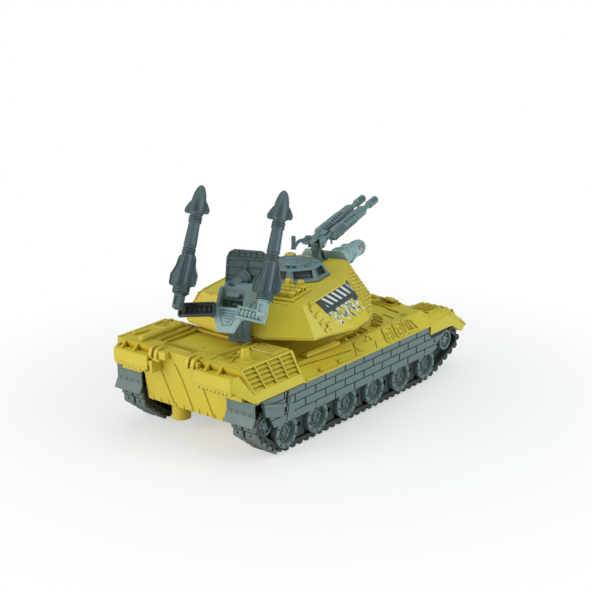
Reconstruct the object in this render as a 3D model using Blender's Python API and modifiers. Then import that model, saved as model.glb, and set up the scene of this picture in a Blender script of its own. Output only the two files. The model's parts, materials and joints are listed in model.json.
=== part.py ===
"""A remote control tank toy: hull, running gear, turret, main gun, twin machine guns and a missile launcher.

Lengths are in millimetres and turn into metres when a mesh is made. +Y is forward, +X is the right-hand
side, and z = 0 is the ground. The hull is modelled about its centre plane. The turret, the launcher and the
missiles stand in a turned pose, so each is modelled straight in the frame of its own axis empty, and the
empty holds the turn. Last, everything moves together so that the middle of the footprint is the origin.
"""

import math

import bmesh
import bpy
from mathutils import Matrix, Vector

MM = 0.001
GAP = 0.3
FOOTPRINT_MIDDLE = (3.925, 6.425, 0.0)

# Hull
HULL_HALF_WIDTH = 73.0
SIDE_EDGE_Z = 51.0
DECK_Z = 60.0
DECK_HALF_WIDTH = 59.0
ENGINE_DECK_Z = 76.0
ENGINE_HALF_WIDTH = 62.5
ENGINE_REAR_Y = -138.0
ENGINE_FRONT_Y = -76.0
SPONSON_Z = 50.3
TAIL_Y = -130.0
CREST_Y = 117.6
FENDER_Z = 56.0
FENDER_IN_X = 36.5
FENDER_UNDER_Z = 42.3
DECK_SKIN = 2.0
TUB_HALF_WIDTH = 41.0
TUB_WALL = 2.0
FLOOR_Z = 6.0

# Running gear
TRACK_IN_X = 46.0
TRACK_OUT_X = 69.9
TRACK_THICKNESS = 2.6
TRACK_BOTTOM_Z = 0.6
TRACK_TOP_Z = 41.6
ROAD_WHEEL_PITCH = 38.0
ROAD_WHEEL_COUNT = 6
ROAD_WHEEL_RADIUS = 12.9
ROAD_WHEEL_Z = 16.6
ROAD_WHEEL_FACE_X = 71.6
SKIRT_FACE_X = 71.8
PANEL_IN_X = 61.0
PANEL_OUT_X = 66.0
IDLER_CENTRE = (128.5, 29.6)
SPROCKET_CENTRE = (-115.5, 27.5)
AXLE_Y = 74.0
AXLE_RADIUS = 2.0
AXLE_HOLE_RADIUS = 2.1
ROLLER_RADIUS = 14.8
ROLLER_X = (50.0, 58.0)

# Turret
TURRET_PLACE = (2.0, -6.0)
TURRET_YAW = 13.0
TURRET_BOTTOM_Z = 80.0
TURRET_TOP_Z = 106.5
RING_RADIUS = 28.0
BASE_Z = (77.9, 79.7)
CUPOLA_Y = 7.0
TRUNNION_Y = 60.0
GUN_Z = 97.0

# Launcher, in the frame of its pillar
LAUNCHER_PLACE = (2.0, -90.0)
LAUNCHER_YAW = 7.0
TILT_Z = 107.0
PILLAR_RADIUS = 8.0
MISSILE_X = 33.0
MISSILE_BASE = (-33.8, 124.0)
MISSILE_LEAN = 33.2
MISSILE_LENGTH = 85.4
MISSILE_RADIUS = 5.3
MISSILE_BORE_RADIUS = 3.2
MISSILE_BORE_DEPTH = 15.0
BUTTON_PLACE = (-10.8, 118.4)
BUTTON_SLOPE = 51.0

# Machine guns, in the turret's frame
MG_Y = 54.0
MG_PIVOT_Z = 121.0
MG_BORE_Z = 132.0
MG_SPACING = 6.2


# Scene ------------------------------------------------------------------------------------------


def clear_scene():
    for obj in list(bpy.data.objects):
        bpy.data.objects.remove(obj, do_unlink=True)


def new_collection(name):
    collection = bpy.data.collections.new(name)
    bpy.context.scene.collection.children.link(collection)
    return collection


def plastic(name, colour, roughness, metallic=0.0):
    """A Principled material with a base colour, a roughness and a metallic value."""
    material = bpy.data.materials.new(name)
    material.use_nodes = True
    shader = material.node_tree.nodes["Principled BSDF"]
    shader.inputs["Base Color"].default_value = (*colour, 1.0)
    shader.inputs["Roughness"].default_value = roughness
    shader.inputs["Metallic"].default_value = metallic
    return material


def axis_empty(name, place, turn_x=0.0, turn_z=0.0, parent=None):
    """An empty on a joint's axis, turned about x or z by degrees. Its children are built straight."""
    empty = bpy.data.objects.new(name, None)
    PARTS.objects.link(empty)
    empty.parent = parent
    empty.location = Vector(place) * MM
    empty.rotation_euler = (math.radians(turn_x), 0.0, math.radians(turn_z))
    return empty


# Shapes, as bmeshes in millimetres --------------------------------------------------------------


def box(x, y, z, chamfer=0.0):
    """A block between the low and high values of x, y and z, with its edges chamfered."""
    bm = bmesh.new()
    bmesh.ops.create_cube(bm, size=1.0)
    size = Vector((x[1] - x[0], y[1] - y[0], z[1] - z[0]))
    middle = Vector((x[1] + x[0], y[1] + y[0], z[1] + z[0])) / 2
    bmesh.ops.scale(bm, vec=size, verts=bm.verts)
    bmesh.ops.translate(bm, vec=middle, verts=bm.verts)
    if chamfer:
        bmesh.ops.bevel(bm, geom=bm.edges[:], offset=chamfer, segments=1, affect="EDGES")
    return bm


def rod(start, end, radius, end_radius=None, sides=20):
    """A round bar or a cone between two points."""
    start, end = Vector(start), Vector(end)
    way = end - start
    bm = bmesh.new()
    tip = radius if end_radius is None else end_radius
    bmesh.ops.create_cone(
        bm, cap_ends=True, segments=sides, radius1=radius, radius2=tip, depth=way.length
    )
    turn = Vector((0, 0, 1)).rotation_difference(way.normalized()).to_matrix().to_4x4()
    place = Matrix.Translation((start + end) / 2) @ turn
    bmesh.ops.transform(bm, matrix=place, verts=bm.verts)
    return bm


def prism(outline, axis, low, high):
    """A flat outline, given in the two other axes, pushed along x, y or z."""
    place = {
        "x": lambda a, b: (low, a, b),
        "y": lambda a, b: (a, low, b),
        "z": lambda a, b: (a, b, low),
    }[axis]
    push = {"x": (high - low, 0, 0), "y": (0, high - low, 0), "z": (0, 0, high - low)}[axis]
    bm = bmesh.new()
    face = bm.faces.new([bm.verts.new(place(a, b)) for a, b in outline])
    grown = bmesh.ops.extrude_face_region(bm, geom=[face])["geom"]
    corners = [v for v in grown if isinstance(v, bmesh.types.BMVert)]
    bmesh.ops.translate(bm, vec=push, verts=corners)
    return bm


def wrapped(points):
    """The tight skin around some corner points."""
    bm = bmesh.new()
    for point in points:
        bm.verts.new(point)
    found = bmesh.ops.convex_hull(bm, input=bm.verts)
    inside = found["geom_interior"] + found["geom_unused"]
    spare = {v for v in inside if isinstance(v, bmesh.types.BMVert)}
    bmesh.ops.delete(bm, geom=list(spare), context="VERTS")
    flat = math.radians(0.5)
    bmesh.ops.dissolve_limit(bm, angle_limit=flat, verts=bm.verts, edges=bm.edges)
    return bm


def both_sides(points):
    """The points and their mirror images across x = 0."""
    return list(points) + [(-x, y, z) for x, y, z in points]


def together(shapes):
    """Several shapes that don't touch, as one bmesh."""
    whole = bmesh.new()
    for shape in shapes:
        mesh = bpy.data.meshes.new("piece")
        shape.to_mesh(mesh)
        shape.free()
        whole.from_mesh(mesh)
        bpy.data.meshes.remove(mesh)
    return whole


def inset(outline, distance):
    """The outline moved inwards by a distance. It runs anticlockwise."""
    moved = []
    for i, here in enumerate(outline):
        before = Vector(outline[i - 1])
        after = Vector(outline[(i + 1) % len(outline)])
        here = Vector(here)
        first = (here - before).normalized()
        second = (after - here).normalized()
        inward = Vector((-first.y - second.y, first.x + second.x)).normalized()
        lean = inward.dot(Vector((-first.y, first.x)))
        moved.append(tuple(here + inward * distance / lean))
    return moved


# Objects ----------------------------------------------------------------------------------------


def as_object(name, bm, group, parent=None):
    bmesh.ops.recalc_face_normals(bm, faces=bm.faces)
    bmesh.ops.scale(bm, vec=(MM, MM, MM), verts=bm.verts)
    mesh = bpy.data.meshes.new(name)
    bm.to_mesh(mesh)
    bm.free()
    obj = bpy.data.objects.new(name, mesh)
    group.objects.link(obj)
    obj.parent = parent
    return obj


def part(name, bm, material, parent=None):
    """A sub-part of the tank, with its own material."""
    obj = as_object(name, bm, PARTS, parent)
    obj.data.materials.append(material)
    return obj


def combine(target, bm, operation):
    tool = as_object(f"{target.name}_tool_{len(target.modifiers)}", bm, TOOLS, target.parent)
    tool.hide_render = True
    tool.display_type = "WIRE"
    modifier = target.modifiers.new(operation.lower(), "BOOLEAN")
    modifier.operation = operation
    modifier.object = tool


def add(target, bm):
    combine(target, bm, "UNION")


def cut(target, bm):
    combine(target, bm, "DIFFERENCE")


def shell(obj, wall):
    """Walls of one thickness on the inner side of an open surface."""
    modifier = obj.modifiers.new("wall", "SOLIDIFY")
    modifier.thickness = wall * MM
    modifier.offset = -1.0
    modifier.use_even_offset = True


def turned(name, profile, sides, material, parent=None):
    """A profile of (radius, height) points, from the top down its outer side, spun about z."""
    mesh = bpy.data.meshes.new(name)
    points = [(radius * MM, 0.0, height * MM) for radius, height in profile]
    mesh.from_pydata(points, [(i, i + 1) for i in range(len(points) - 1)], [])
    mesh.materials.append(material)
    obj = bpy.data.objects.new(name, mesh)
    PARTS.objects.link(obj)
    obj.parent = parent
    screw = obj.modifiers.new("turn", "SCREW")
    screw.axis = "Z"
    screw.steps = sides
    screw.render_steps = sides
    screw.use_merge_vertices = True
    screw.merge_threshold = 0.00001
    return obj


def wire(name, points, radius, material, parent=None):
    """A round wire through the points."""
    curve = bpy.data.curves.new(name, "CURVE")
    curve.dimensions = "3D"
    curve.bevel_depth = radius * MM
    curve.bevel_resolution = 0
    curve.use_fill_caps = True
    line = curve.splines.new("POLY")
    line.points.add(len(points) - 1)
    for spot, (x, y, z) in zip(line.points, points):
        spot.co = (x * MM, y * MM, z * MM, 1.0)
    curve.materials.append(material)
    obj = bpy.data.objects.new(name, curve)
    PARTS.objects.link(obj)
    obj.parent = parent
    return obj


# Hull -------------------------------------------------------------------------------------------


def upper_hull():
    """The yellow deck shell: side slopes, raised engine deck, fenders, glacis, rear plate and bumpers."""
    slab = [
        (-HULL_HALF_WIDTH, SPONSON_Z),
        (HULL_HALF_WIDTH, SPONSON_Z),
        (HULL_HALF_WIDTH, SIDE_EDGE_Z),
        (DECK_HALF_WIDTH, DECK_Z),
        (-DECK_HALF_WIDTH, DECK_Z),
        (-HULL_HALF_WIDTH, SIDE_EDGE_Z),
    ]
    hull = part("upper_hull", prism(slab, "y", TAIL_Y + 1, 106.0), YELLOW)
    add(hull, engine_deck())
    add(hull, glacis())
    for side in (-1, 1):
        add(hull, fender(side))
        add(hull, fender_nose(side))
    add(hull, rear_plate())
    add(hull, bumpers_and_hooks())
    add(hull, rod((51, -118, 75), (51, -118, 87), 4.2, 3.0))
    cut(hull, box((-56, 56), (-124, 104), (40, DECK_Z - DECK_SKIN)))
    cut(hull, box((-56, 56), (103, 112), (40, FENDER_Z - DECK_SKIN)))
    engine_room = both_sides(
        [
            (59, -126, 50),
            (59, ENGINE_FRONT_Y - 3, 50),
            (57, -133.5, ENGINE_DECK_Z - 3),
            (57, ENGINE_FRONT_Y - 5, ENGINE_DECK_Z - 3),
        ]
    )
    cut(hull, wrapped(engine_room))
    ring = (*TURRET_PLACE, 55.0)
    cut(hull, rod(ring, (*TURRET_PLACE, 65.0), RING_RADIUS, sides=48))


def engine_deck():
    return wrapped(
        both_sides(
            [
                (HULL_HALF_WIDTH, TAIL_Y, SPONSON_Z + 0.1),
                (HULL_HALF_WIDTH, TAIL_Y, SIDE_EDGE_Z + 1),
                (HULL_HALF_WIDTH, ENGINE_FRONT_Y, SPONSON_Z + 0.1),
                (HULL_HALF_WIDTH, ENGINE_FRONT_Y, SIDE_EDGE_Z + 1),
                (ENGINE_HALF_WIDTH, ENGINE_REAR_Y, ENGINE_DECK_Z),
                (ENGINE_HALF_WIDTH + 2, ENGINE_FRONT_Y - 3, ENGINE_DECK_Z),
            ]
        )
    )


def glacis():
    return wrapped(
        both_sides(
            [
                (FENDER_IN_X + 1, CREST_Y, FENDER_Z),
                (21, CREST_Y, DECK_Z - 1),
                (FENDER_IN_X + 1, 100, FENDER_UNDER_Z),
                (FENDER_IN_X + 1, 100, DECK_Z - 0.1),
                (FENDER_IN_X + 1, 145, FENDER_UNDER_Z + 0.1),
                (FENDER_IN_X + 1, 145, FENDER_UNDER_Z + 1),
            ]
        )
    )


def fender(side):
    corners = [
        (FENDER_IN_X, 99.7, FENDER_UNDER_Z),
        (72.7, 99.7, FENDER_UNDER_Z),
        (72.7, 99.7, SIDE_EDGE_Z + 0.7),
        (64, 99.7, FENDER_Z),
        (FENDER_IN_X, 99.7, FENDER_Z),
        (72.7, 130.7, 53.2),
        (63.8, 140, 55.7),
        (FENDER_IN_X, 140, 55.7),
        (72.7, 147.4, 44.6),
        (FENDER_IN_X, 147.4, 44.6),
        (72.7, 134, FENDER_UNDER_Z),
        (FENDER_IN_X, 134, FENDER_UNDER_Z),
        (72.7, 146, 42.5),
        (FENDER_IN_X, 146, 42.5),
    ]
    return wrapped([(side * x, y, z) for x, y, z in corners])


def fender_nose(side):
    outline = [(130, 46), (133.8, 42.2), (150.5, 32.6), (156.6, 37.6), (147, 45), (140, 50)]
    edges = sorted((side * 44.0, side * 72.7))
    return prism(outline, "x", edges[0], edges[1])


def rear_plate():
    corners = [
        (42.7, TAIL_Y - 1, 53.0),
        (42.7, TAIL_Y + 3, 53.0),
        (40.5, -127.0, 27.0),
        (40.5, -125.4, 27.0),
    ]
    return wrapped(both_sides(corners))


def bumpers_and_hooks():
    shapes = []
    for inner, outer in ((-60, -24), (24, 60)):
        shapes.append(box((inner, outer), (-145.6, -134), (60, 70.5), 0.6))
    for x in (-20.0, 18.0):
        shapes.append(box((x - 3, x - 1), (-143, -134.6), (69.3, 77.6)))
        shapes.append(box((x + 1, x + 3), (-143, -134.6), (69.3, 77.6)))
    return together(shapes)


def lower_hull():
    """The tub under the deck. It holds the axles, the battery and the drive."""
    side = [
        (-123.5, 50.0),
        (-123.5, 26.5),
        (-98.0, 17.5),
        (-85.0, 11.5),
        (-73.0, FLOOR_Z),
        (100.0, FLOOR_Z),
        (118.0, 20.0),
        (134.0, 41.9),
        (111.0, 41.9),
        (111.0, 50.0),
    ]
    bm = prism(side, "x", -TUB_HALF_WIDTH, TUB_HALF_WIDTH)
    mouth = [f for f in bm.faces if all(v.co.z > 49.9 for v in f.verts)]
    bmesh.ops.delete(bm, geom=mouth, context="FACES_ONLY")
    tub = part("lower_hull", bm, YELLOW)
    shell(tub, TUB_WALL)
    for y in (-AXLE_Y, AXLE_Y):
        cut(tub, rod((-50, y, ROLLER_RADIUS), (50, y, ROLLER_RADIUS), AXLE_HOLE_RADIUS, sides=24))
    cut(tub, box((-24.3, 24.3), (-50.3, 10.3), (4, 9)))
    cut(tub, box((25.8, 30.2), (23, 37), (4, 9)))
    add(tub, rod((-24, -110, 10), (-24, -110, 23.3), 7.5, sides=24))
    cut(tub, rod((-24, -110, 8), (-24, -110, 30), 1.9, sides=16))


def mud_flap(name, side):
    """The grey flap that hangs behind a track, kicked out at its lower end."""
    outline = [
        (-125.0, 49.9),
        (-132.5, 49.9),
        (-132.5, 39.2),
        (-135.9, 32.0),
        (-134.4, 31.4),
        (-131.0, 39.0),
        (-131.0, 48.4),
        (-125.0, 48.4),
    ]
    edges = sorted((side * 44.5, side * 71.2))
    part(name, prism(outline, "x", edges[0], edges[1]), GREY)


# Running gear -----------------------------------------------------------------------------------


def track_outline():
    """The outer line of a track, anticlockwise in (y, z)."""
    return [
        (-98.0, TRACK_BOTTOM_Z),
        (95.0, TRACK_BOTTOM_Z),
        (105.0, 2.0),
        (112.0, 3.6),
        (120.0, 6.5),
        (134.5, 13.0),
        (142.0, 16.0),
        (148.4, 20.0),
        (151.0, 26.5),
        (148.5, 32.0),
        (141.5, 37.0),
        (132.5, 40.7),
        (124.0, TRACK_TOP_Z),
        (-118.0, TRACK_TOP_Z),
        (-126.5, 39.6),
        (-129.8, 34.0),
        (-128.6, 26.5),
        (-126.6, 20.7),
        (-112.5, 9.4),
        (-105.0, 3.6),
    ]


def track(name, side):
    """A moulded track band, with a slot at each hidden road roller."""
    edges = sorted((side * TRACK_IN_X, side * TRACK_OUT_X))
    bm = prism(track_outline(), "x", edges[0], edges[1])
    caps = [f for f in bm.faces if len(f.verts) > 4]
    bmesh.ops.delete(bm, geom=caps, context="FACES_ONLY")
    band = part(name, bm, BLACK)
    shell(band, TRACK_THICKNESS)
    slot = sorted((side * (ROLLER_X[0] - 0.8), side * (ROLLER_X[1] + 0.8)))
    for y in (-AXLE_Y, AXLE_Y):
        cut(band, box(slot, (y - 11.5, y + 11.5), (-3, 8)))


def road_wheel_places():
    first = -ROAD_WHEEL_PITCH * (ROAD_WHEEL_COUNT - 1) / 2
    return [(first + i * ROAD_WHEEL_PITCH, ROAD_WHEEL_Z) for i in range(ROAD_WHEEL_COUNT)]


def running_gear(name, side):
    """The grey side moulding: back panel, brick skirt, road wheels, idler and sprocket in one piece."""

    def across(low, high):
        return sorted((side * low, side * high))

    def discs(places, radius, low, high, sides=24):
        shapes = []
        for y, z in places:
            shapes.append(rod((side * low, y, z), (side * high, y, z), radius, sides=sides))
        return together(shapes)

    loop = inset(track_outline(), TRACK_THICKNESS + GAP + 0.2)
    gear = part(name, prism(loop, "x", *across(PANEL_IN_X, PANEL_OUT_X)), GREY)
    web = [(-112, 26), (100, 26), (100, 38), (-112, 38)]
    add(gear, prism(web, "x", *across(PANEL_OUT_X - 1, SKIRT_FACE_X - 1)))
    skirt = [
        (-124.0, 49.8),
        (-110.0, 25.0),
        (104.0, 25.0),
        (112.0, 28.0),
        (97.7, 43.0),
        (97.7, 49.8),
    ]
    add(gear, prism(skirt, "x", *across(TRACK_OUT_X + GAP, SKIRT_FACE_X)))
    wheels = road_wheel_places()
    add(gear, discs(wheels, ROAD_WHEEL_RADIUS, PANEL_OUT_X - 1.5, ROAD_WHEEL_FACE_X))
    add(gear, discs([IDLER_CENTRE, SPROCKET_CENTRE], 8.5, PANEL_OUT_X - 1.5, 69.0))
    cut(gear, discs(wheels, 9.0, ROAD_WHEEL_FACE_X - 1.8, ROAD_WHEEL_FACE_X + 2))
    add(gear, discs(wheels, 2.4, ROAD_WHEEL_FACE_X - 3, ROAD_WHEEL_FACE_X - 0.6, sides=10))
    posts = [(-40.0, 30.0), (0.0, 30.0), (40.0, 30.0)]
    add(gear, discs(posts, 3.0, TUB_HALF_WIDTH + GAP, PANEL_IN_X + 2, sides=12))
    axles = [(-AXLE_Y, ROLLER_RADIUS), (AXLE_Y, ROLLER_RADIUS)]
    cut(gear, discs(axles, AXLE_HOLE_RADIUS, 50, 80))


def axle_set(prefix, y):
    """A steel axle with a road roller near each end."""
    height = ROLLER_RADIUS
    pivot = axis_empty(f"{prefix}_axle_axis", (0, y, height))
    part(f"{prefix}_axle", rod((-65.5, 0, 0), (65.5, 0, 0), AXLE_RADIUS, sides=24), STEEL, pivot)
    for word, side in (("left", -1), ("right", 1)):
        low, high = sorted((side * ROLLER_X[0], side * ROLLER_X[1]))
        roller = part(
            f"{prefix}_{word}_roller", rod((low, 0, 0), (high, 0, 0), ROLLER_RADIUS, sides=36), BLACK, pivot
        )
        cut(roller, rod((low - 2, 0, 0), (high + 2, 0, 0), AXLE_HOLE_RADIUS, sides=24))


# Inside the hull --------------------------------------------------------------------------------


def drive():
    case = [(-83, 19), (-79, 12.6), (-66, 8.6), (-63, 12), (-63, 40), (-108, 40), (-108, 25)]
    gearbox = part("gearbox", prism(case, "x", -12, 4), WHITE)
    shaft = rod((-20, -AXLE_Y, ROLLER_RADIUS), (20, -AXLE_Y, ROLLER_RADIUS), 2.4, sides=24)
    cut(gearbox, shaft)
    motor = part("drive_motor", rod((4.3, -97, 33), (32, -97, 33), 7.6, sides=24), STEEL)
    add(motor, rod((31, -97, 33), (34, -97, 33), 3.0, sides=12))


def electronics():
    board = part("main_board", box((-20, 20), (30, 66), (22, 23.6)), GREEN)
    add(board, together([box((-8, 4), (38, 50), (23, 25.5)), box((8, 16), (52, 62), (23, 27))]))
    speaker = part("speaker", rod((0, 91, 11), (0, 91, 17), 10, 8, sides=24), BLACK)
    add(speaker, rod((0, 91, 16), (0, 91, 20), 5, sides=16))
    part("switch_body", box((22, 34), (20, 40), (10.2, 16)), BLACK)
    wire("antenna_wire", [(-16, 67, 24), (-18, 75, 30), (-20, 90, 44), (-20, 104, 52)], 0.5, BLACK)
    wire("battery_leads", [(14, 1.5, 15), (16, 12, 20), (14, 24, 26), (12, 36, 26)], 0.7, RED)


def batteries():
    for i in range(4):
        x = -22.5 + 15 * i
        cell = part(f"battery_cell_{i + 1}", rod((x, -49, 15.3), (x, -1, 15.3), 7.1, sides=20), CELL)
        add(cell, rod((x, -2, 15.3), (x, 0.2, 15.3), 2.6, sides=12))
    door = part("battery_door", box((-24, 24), (-50, 10), (FLOOR_Z, 7.8)), YELLOW)
    cut(door, rod((0, 6, 3), (0, 6, 12), 1.8, sides=16))
    screw("battery_door_screw", (0, 6, FLOOR_Z - GAP), 6.5)
    screw("hull_screw", (-24, -110, 10 - GAP), 18.0)


def screw(name, head_top, length):
    """A screw driven upwards, with its head just under the face it holds."""
    x, y, z = head_top
    obj = part(name, rod((x, y, z - 1.3), (x, y, z), 2.9, sides=16), STEEL)
    add(obj, rod((x, y, z - 0.5), (x, y, z + length), 1.5, sides=12))


def power_switch():
    pivot = axis_empty("power_switch_axis", (28, 30, FLOOR_Z))
    slider = part("power_switch", box((-1.8, 1.8), (-2, 2), (-0.9, 3)), BLACK, pivot)
    add(slider, box((-4, 4), (-6, 6), (2.3, 3.9)))


# Turret -----------------------------------------------------------------------------------------


def turret_ring_outline():
    """The lower edge of the right half of the turret, from the rear to the front."""
    return [
        (22.0, -84.5),
        (56.0, -71.0),
        (60.5, -58.5),
        (68.4, -44.0),
        (74.0, -30.0),
        (74.0, -4.7),
        (49.5, 55.0),
        (24.0, 68.0),
    ]


def turret_shell(pivot):
    low = [(x, y, TURRET_BOTTOM_Z) for x, y in turret_ring_outline()]
    high = [
        (18.0, -75.0, TURRET_TOP_Z),
        (44.0, -67.0, TURRET_TOP_Z),
        (45.0, 15.0, TURRET_TOP_Z),
        (22.0, 66.0, TURRET_TOP_Z),
    ]
    bm = wrapped(both_sides(low + high))
    bmesh.ops.recalc_face_normals(bm, faces=bm.faces)
    under = [f for f in bm.faces if f.calc_center_median().z < TURRET_BOTTOM_Z + 0.01]
    bmesh.ops.delete(bm, geom=under, context="FACES_ONLY")
    turret = part("turret_shell", bm, YELLOW, pivot)
    shell(turret, 2.0)
    cut(turret, box((-12.5, 12.5), (61, 75), (86.5, 104.2)))
    niche = rod((*LAUNCHER_PLACE, 75), (*LAUNCHER_PLACE, 103), PILLAR_RADIUS + 0.8, sides=28)
    cut(turret, niche)
    cut(turret, box((-90, 90), (-100, 90), (70, TURRET_BOTTOM_Z)))


def turret_base(pivot):
    """The plate that closes the turret, with the collar that turns in the deck and the launcher's tongue."""
    half = [(x * 0.985, y * 0.985) for x, y in turret_ring_outline()]
    outline = half + [(-x, y) for x, y in reversed(half)]
    base = part("turret_base", prism(outline, "z", *BASE_Z), YELLOW, pivot)
    tongue = box((LAUNCHER_PLACE[0] - 10, LAUNCHER_PLACE[0] + 10), (-100, -75), BASE_Z)
    add(base, tongue)
    add(base, rod((0, 0, 56.5), (0, 0, 78.5), RING_RADIUS - 0.5, sides=48))
    cut(base, rod((0, 0, 50), (0, 0, 90), RING_RADIUS - 5, sides=32))
    place = (*LAUNCHER_PLACE, 70)
    cut(base, rod(place, (*LAUNCHER_PLACE, 85), 3.2, sides=20))
    ring = part("turret_retainer", rod((0, 0, 53.8), (0, 0, 56.2), RING_RADIUS + 5, sides=40), WHITE, pivot)
    cut(ring, rod((0, 0, 50), (0, 0, 60), RING_RADIUS - 8, sides=32))


def turret_fittings(pivot):
    roof = TURRET_TOP_Z + GAP
    pad = part("stowage_cluster", box((10, 34), (-62, -28), (roof, roof + 1.4)), YELLOW, pivot)
    tubes = [box((12, 32), (y, y + 6), (roof + 1, roof + 5)) for y in (-59, -50, -41)]
    add(pad, together(tubes))
    loops = [rod((x - 1.5, -32.6, roof + 4.3), (x + 1.5, -32.6, roof + 4.3), 4, sides=16) for x in (16, 26)]
    add(pad, together(loops))
    cupola = part("cupola", rod((0, CUPOLA_Y, roof), (0, CUPOLA_Y, roof + 2), 31, sides=8), GREY, pivot)
    add(cupola, rod((0, CUPOLA_Y, roof + 1), (0, CUPOLA_Y, roof + 10), 29, 24, sides=8))
    part("roof_knob", rod((-24, 52, roof), (-24, 52, roof + 4), 5, 3.5, sides=16), YELLOW, pivot)


# Main gun ---------------------------------------------------------------------------------------


def main_gun(turret):
    bracket_plate = box((-14, 14), (55.5, 64), (80.4, 82.2))
    bracket = part("gun_bracket", bracket_plate, WHITE, turret)
    ears = [box((x, x + 2), (55.8, 63.9), (82, 101)) for x in (-12, 10)]
    add(bracket, together(ears))
    cut(bracket, rod((-20, TRUNNION_Y, GUN_Z), (20, TRUNNION_Y, GUN_Z), 2.6, sides=24))

    pivot = axis_empty("gun_axis", (0, TRUNNION_Y, GUN_Z), parent=turret)
    mantlet = part("gun_mantlet", box((-8, 8), (-3.5, 12), (-4.5, 4.5)), LIGHT_GREY, pivot)
    face = both_sides(
        [
            (18, 9.5, -6),
            (24, 9.5, 6),
            (18, 9.5, 15),
            (12, 27, -8),
            (12, 27, 9),
            (16, 20, 12),
        ]
    )
    add(mantlet, wrapped(face))
    add(mantlet, rod((-13.5, 0, 0), (13.5, 0, 0), 2.5, sides=24))

    profile = [
        (0.0, 90.0),
        (4.5, 89.0),
        (7.4, 86.0),
        (8.7, 81.5),
        (8.2, 81.2),
        (8.2, 78.2),
        (8.8, 77.9),
        (8.8, 56.0),
        (7.6, 55.4),
        (7.6, 46.0),
        (9.4, 45.4),
        (9.4, 36.0),
        (8.2, 35.4),
        (8.2, 27.4),
        (0.0, 27.4),
    ]
    barrel = turned("gun_barrel", profile, 24, LIGHT_GREY, pivot)
    barrel.rotation_euler = (-math.pi / 2, 0, 0)
    ring = part("muzzle_ring", rod((0, 78.4, 0), (0, 81.0, 0), 9.0, sides=24), RED, pivot)
    cut(ring, rod((0, 70, 0), (0, 90, 0), 8.4, sides=24))


# Machine guns -----------------------------------------------------------------------------------


def machine_guns(turret):
    yaw = axis_empty("mg_yaw_axis", (0, MG_Y, 0), parent=turret)
    roof = TURRET_TOP_Z + GAP
    post = part("mg_post", rod((0, 0, roof), (0, 0, roof + 2), 6, sides=20), DARK_GREY, yaw)
    add(post, rod((0, 0, roof + 1), (0, 0, MG_PIVOT_Z - 1), 4.2, 3.6, sides=20))
    add(post, box((-3.6, 3.6), (-4.5, 4.5), (MG_PIVOT_Z - 5, MG_PIVOT_Z + 2.9), 0.7))
    cut(post, rod((-9, 0, MG_PIVOT_Z), (9, 0, MG_PIVOT_Z), AXLE_HOLE_RADIUS, sides=20))

    pitch = axis_empty("mg_pitch_axis", (0, 0, MG_PIVOT_Z), parent=yaw)
    rise = MG_BORE_Z - MG_PIVOT_Z
    receiver = part("mg_receiver", box((-9.5, 9.5), (-2, 20), (rise - 4.5, rise + 2), 0.8), DARK_GREY, pitch)
    cheeks = [box(x, (-4, 6), (-4, rise - 3)) for x in ((-6.4, -4.0), (4.0, 6.4))]
    add(receiver, together(cheeks))
    add(receiver, box((-3, 3), (-22, 0), (rise - 7, rise - 2), 0.8))
    cut(receiver, rod((-9, 0, 0), (9, 0, 0), AXLE_HOLE_RADIUS, sides=20))
    part("mg_pin", rod((-7.4, 0, 0), (7.4, 0, 0), AXLE_RADIUS, sides=20), STEEL, pitch)
    for word, side in (("left", -1), ("right", 1)):
        mg_barrel(f"mg_barrel_{word}", side * MG_SPACING, rise, pitch)

    crank = axis_empty("mg_crank_axis", (0, -17, rise - 1.7), parent=pitch)
    arm = part("mg_crank", rod((0, 0, 0), (0, 0, 1.2), 2.6, sides=16), DARK_GREY, crank)
    add(arm, wrapped(both_sides([(1.2, 1, 0.1), (1.2, 1, 1.3), (1.2, -29, 0.1), (1.2, -29, 1.3)])))
    add(arm, rod((0, -28, 0.6), (0, -28, 10), 1.7, sides=12))


def mg_barrel(name, x, rise, parent):
    """A jacket, a thinner barrel and a ribbed muzzle, clipped in front of the receiver."""
    profile = [
        (0.0, 116.0),
        (3.0, 115.6),
        (3.2, 101.0),
        (2.1, 100.4),
        (2.1, 84.0),
        (3.4, 83.4),
        (3.4, 66.0),
        (4.6, 65.0),
        (4.6, 36.0),
        (5.6, 35.0),
        (5.6, 22.0),
        (4.4, 20.4),
        (0.0, 20.4),
    ]
    barrel = turned(name, profile, 16, DARK_GREY, parent)
    barrel.location = Vector((x, 0, rise)) * MM
    barrel.rotation_euler = (math.radians(-88.0), 0, 0)


# Missile launcher -------------------------------------------------------------------------------


def launcher(turret):
    yaw = axis_empty("launcher_axis", (*LAUNCHER_PLACE, 0), turn_z=LAUNCHER_YAW, parent=turret)
    pillar = part("launcher_pillar", rod((0, 0, 80), (0, 0, 99), PILLAR_RADIUS, sides=28), DARK_GREY, yaw)
    add(pillar, rod((0, 0, 76.7), (0, 0, 81), 3.0, sides=20))
    add(pillar, box((-4, 4), (-6, 6), (98, TILT_Z)))
    add(pillar, rod((-4, 0, TILT_Z), (4, 0, TILT_Z), 6, sides=28))
    cut(pillar, rod((-9, 0, TILT_Z), (9, 0, TILT_Z), AXLE_HOLE_RADIUS, sides=24))
    tilt = axis_empty("tilt_axis", (0, 0, TILT_Z), parent=yaw)
    launcher_head(tilt)
    for word, side in (("left", -1), ("right", 1)):
        launcher_arm(word, side, tilt)
        missile(word, side, tilt)
    launch_button(tilt)


def from_tilt(outline):
    """(y, z) points above the ground as points measured from the tilt axis."""
    return [(y, z - TILT_Z) for y, z in outline]


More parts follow.
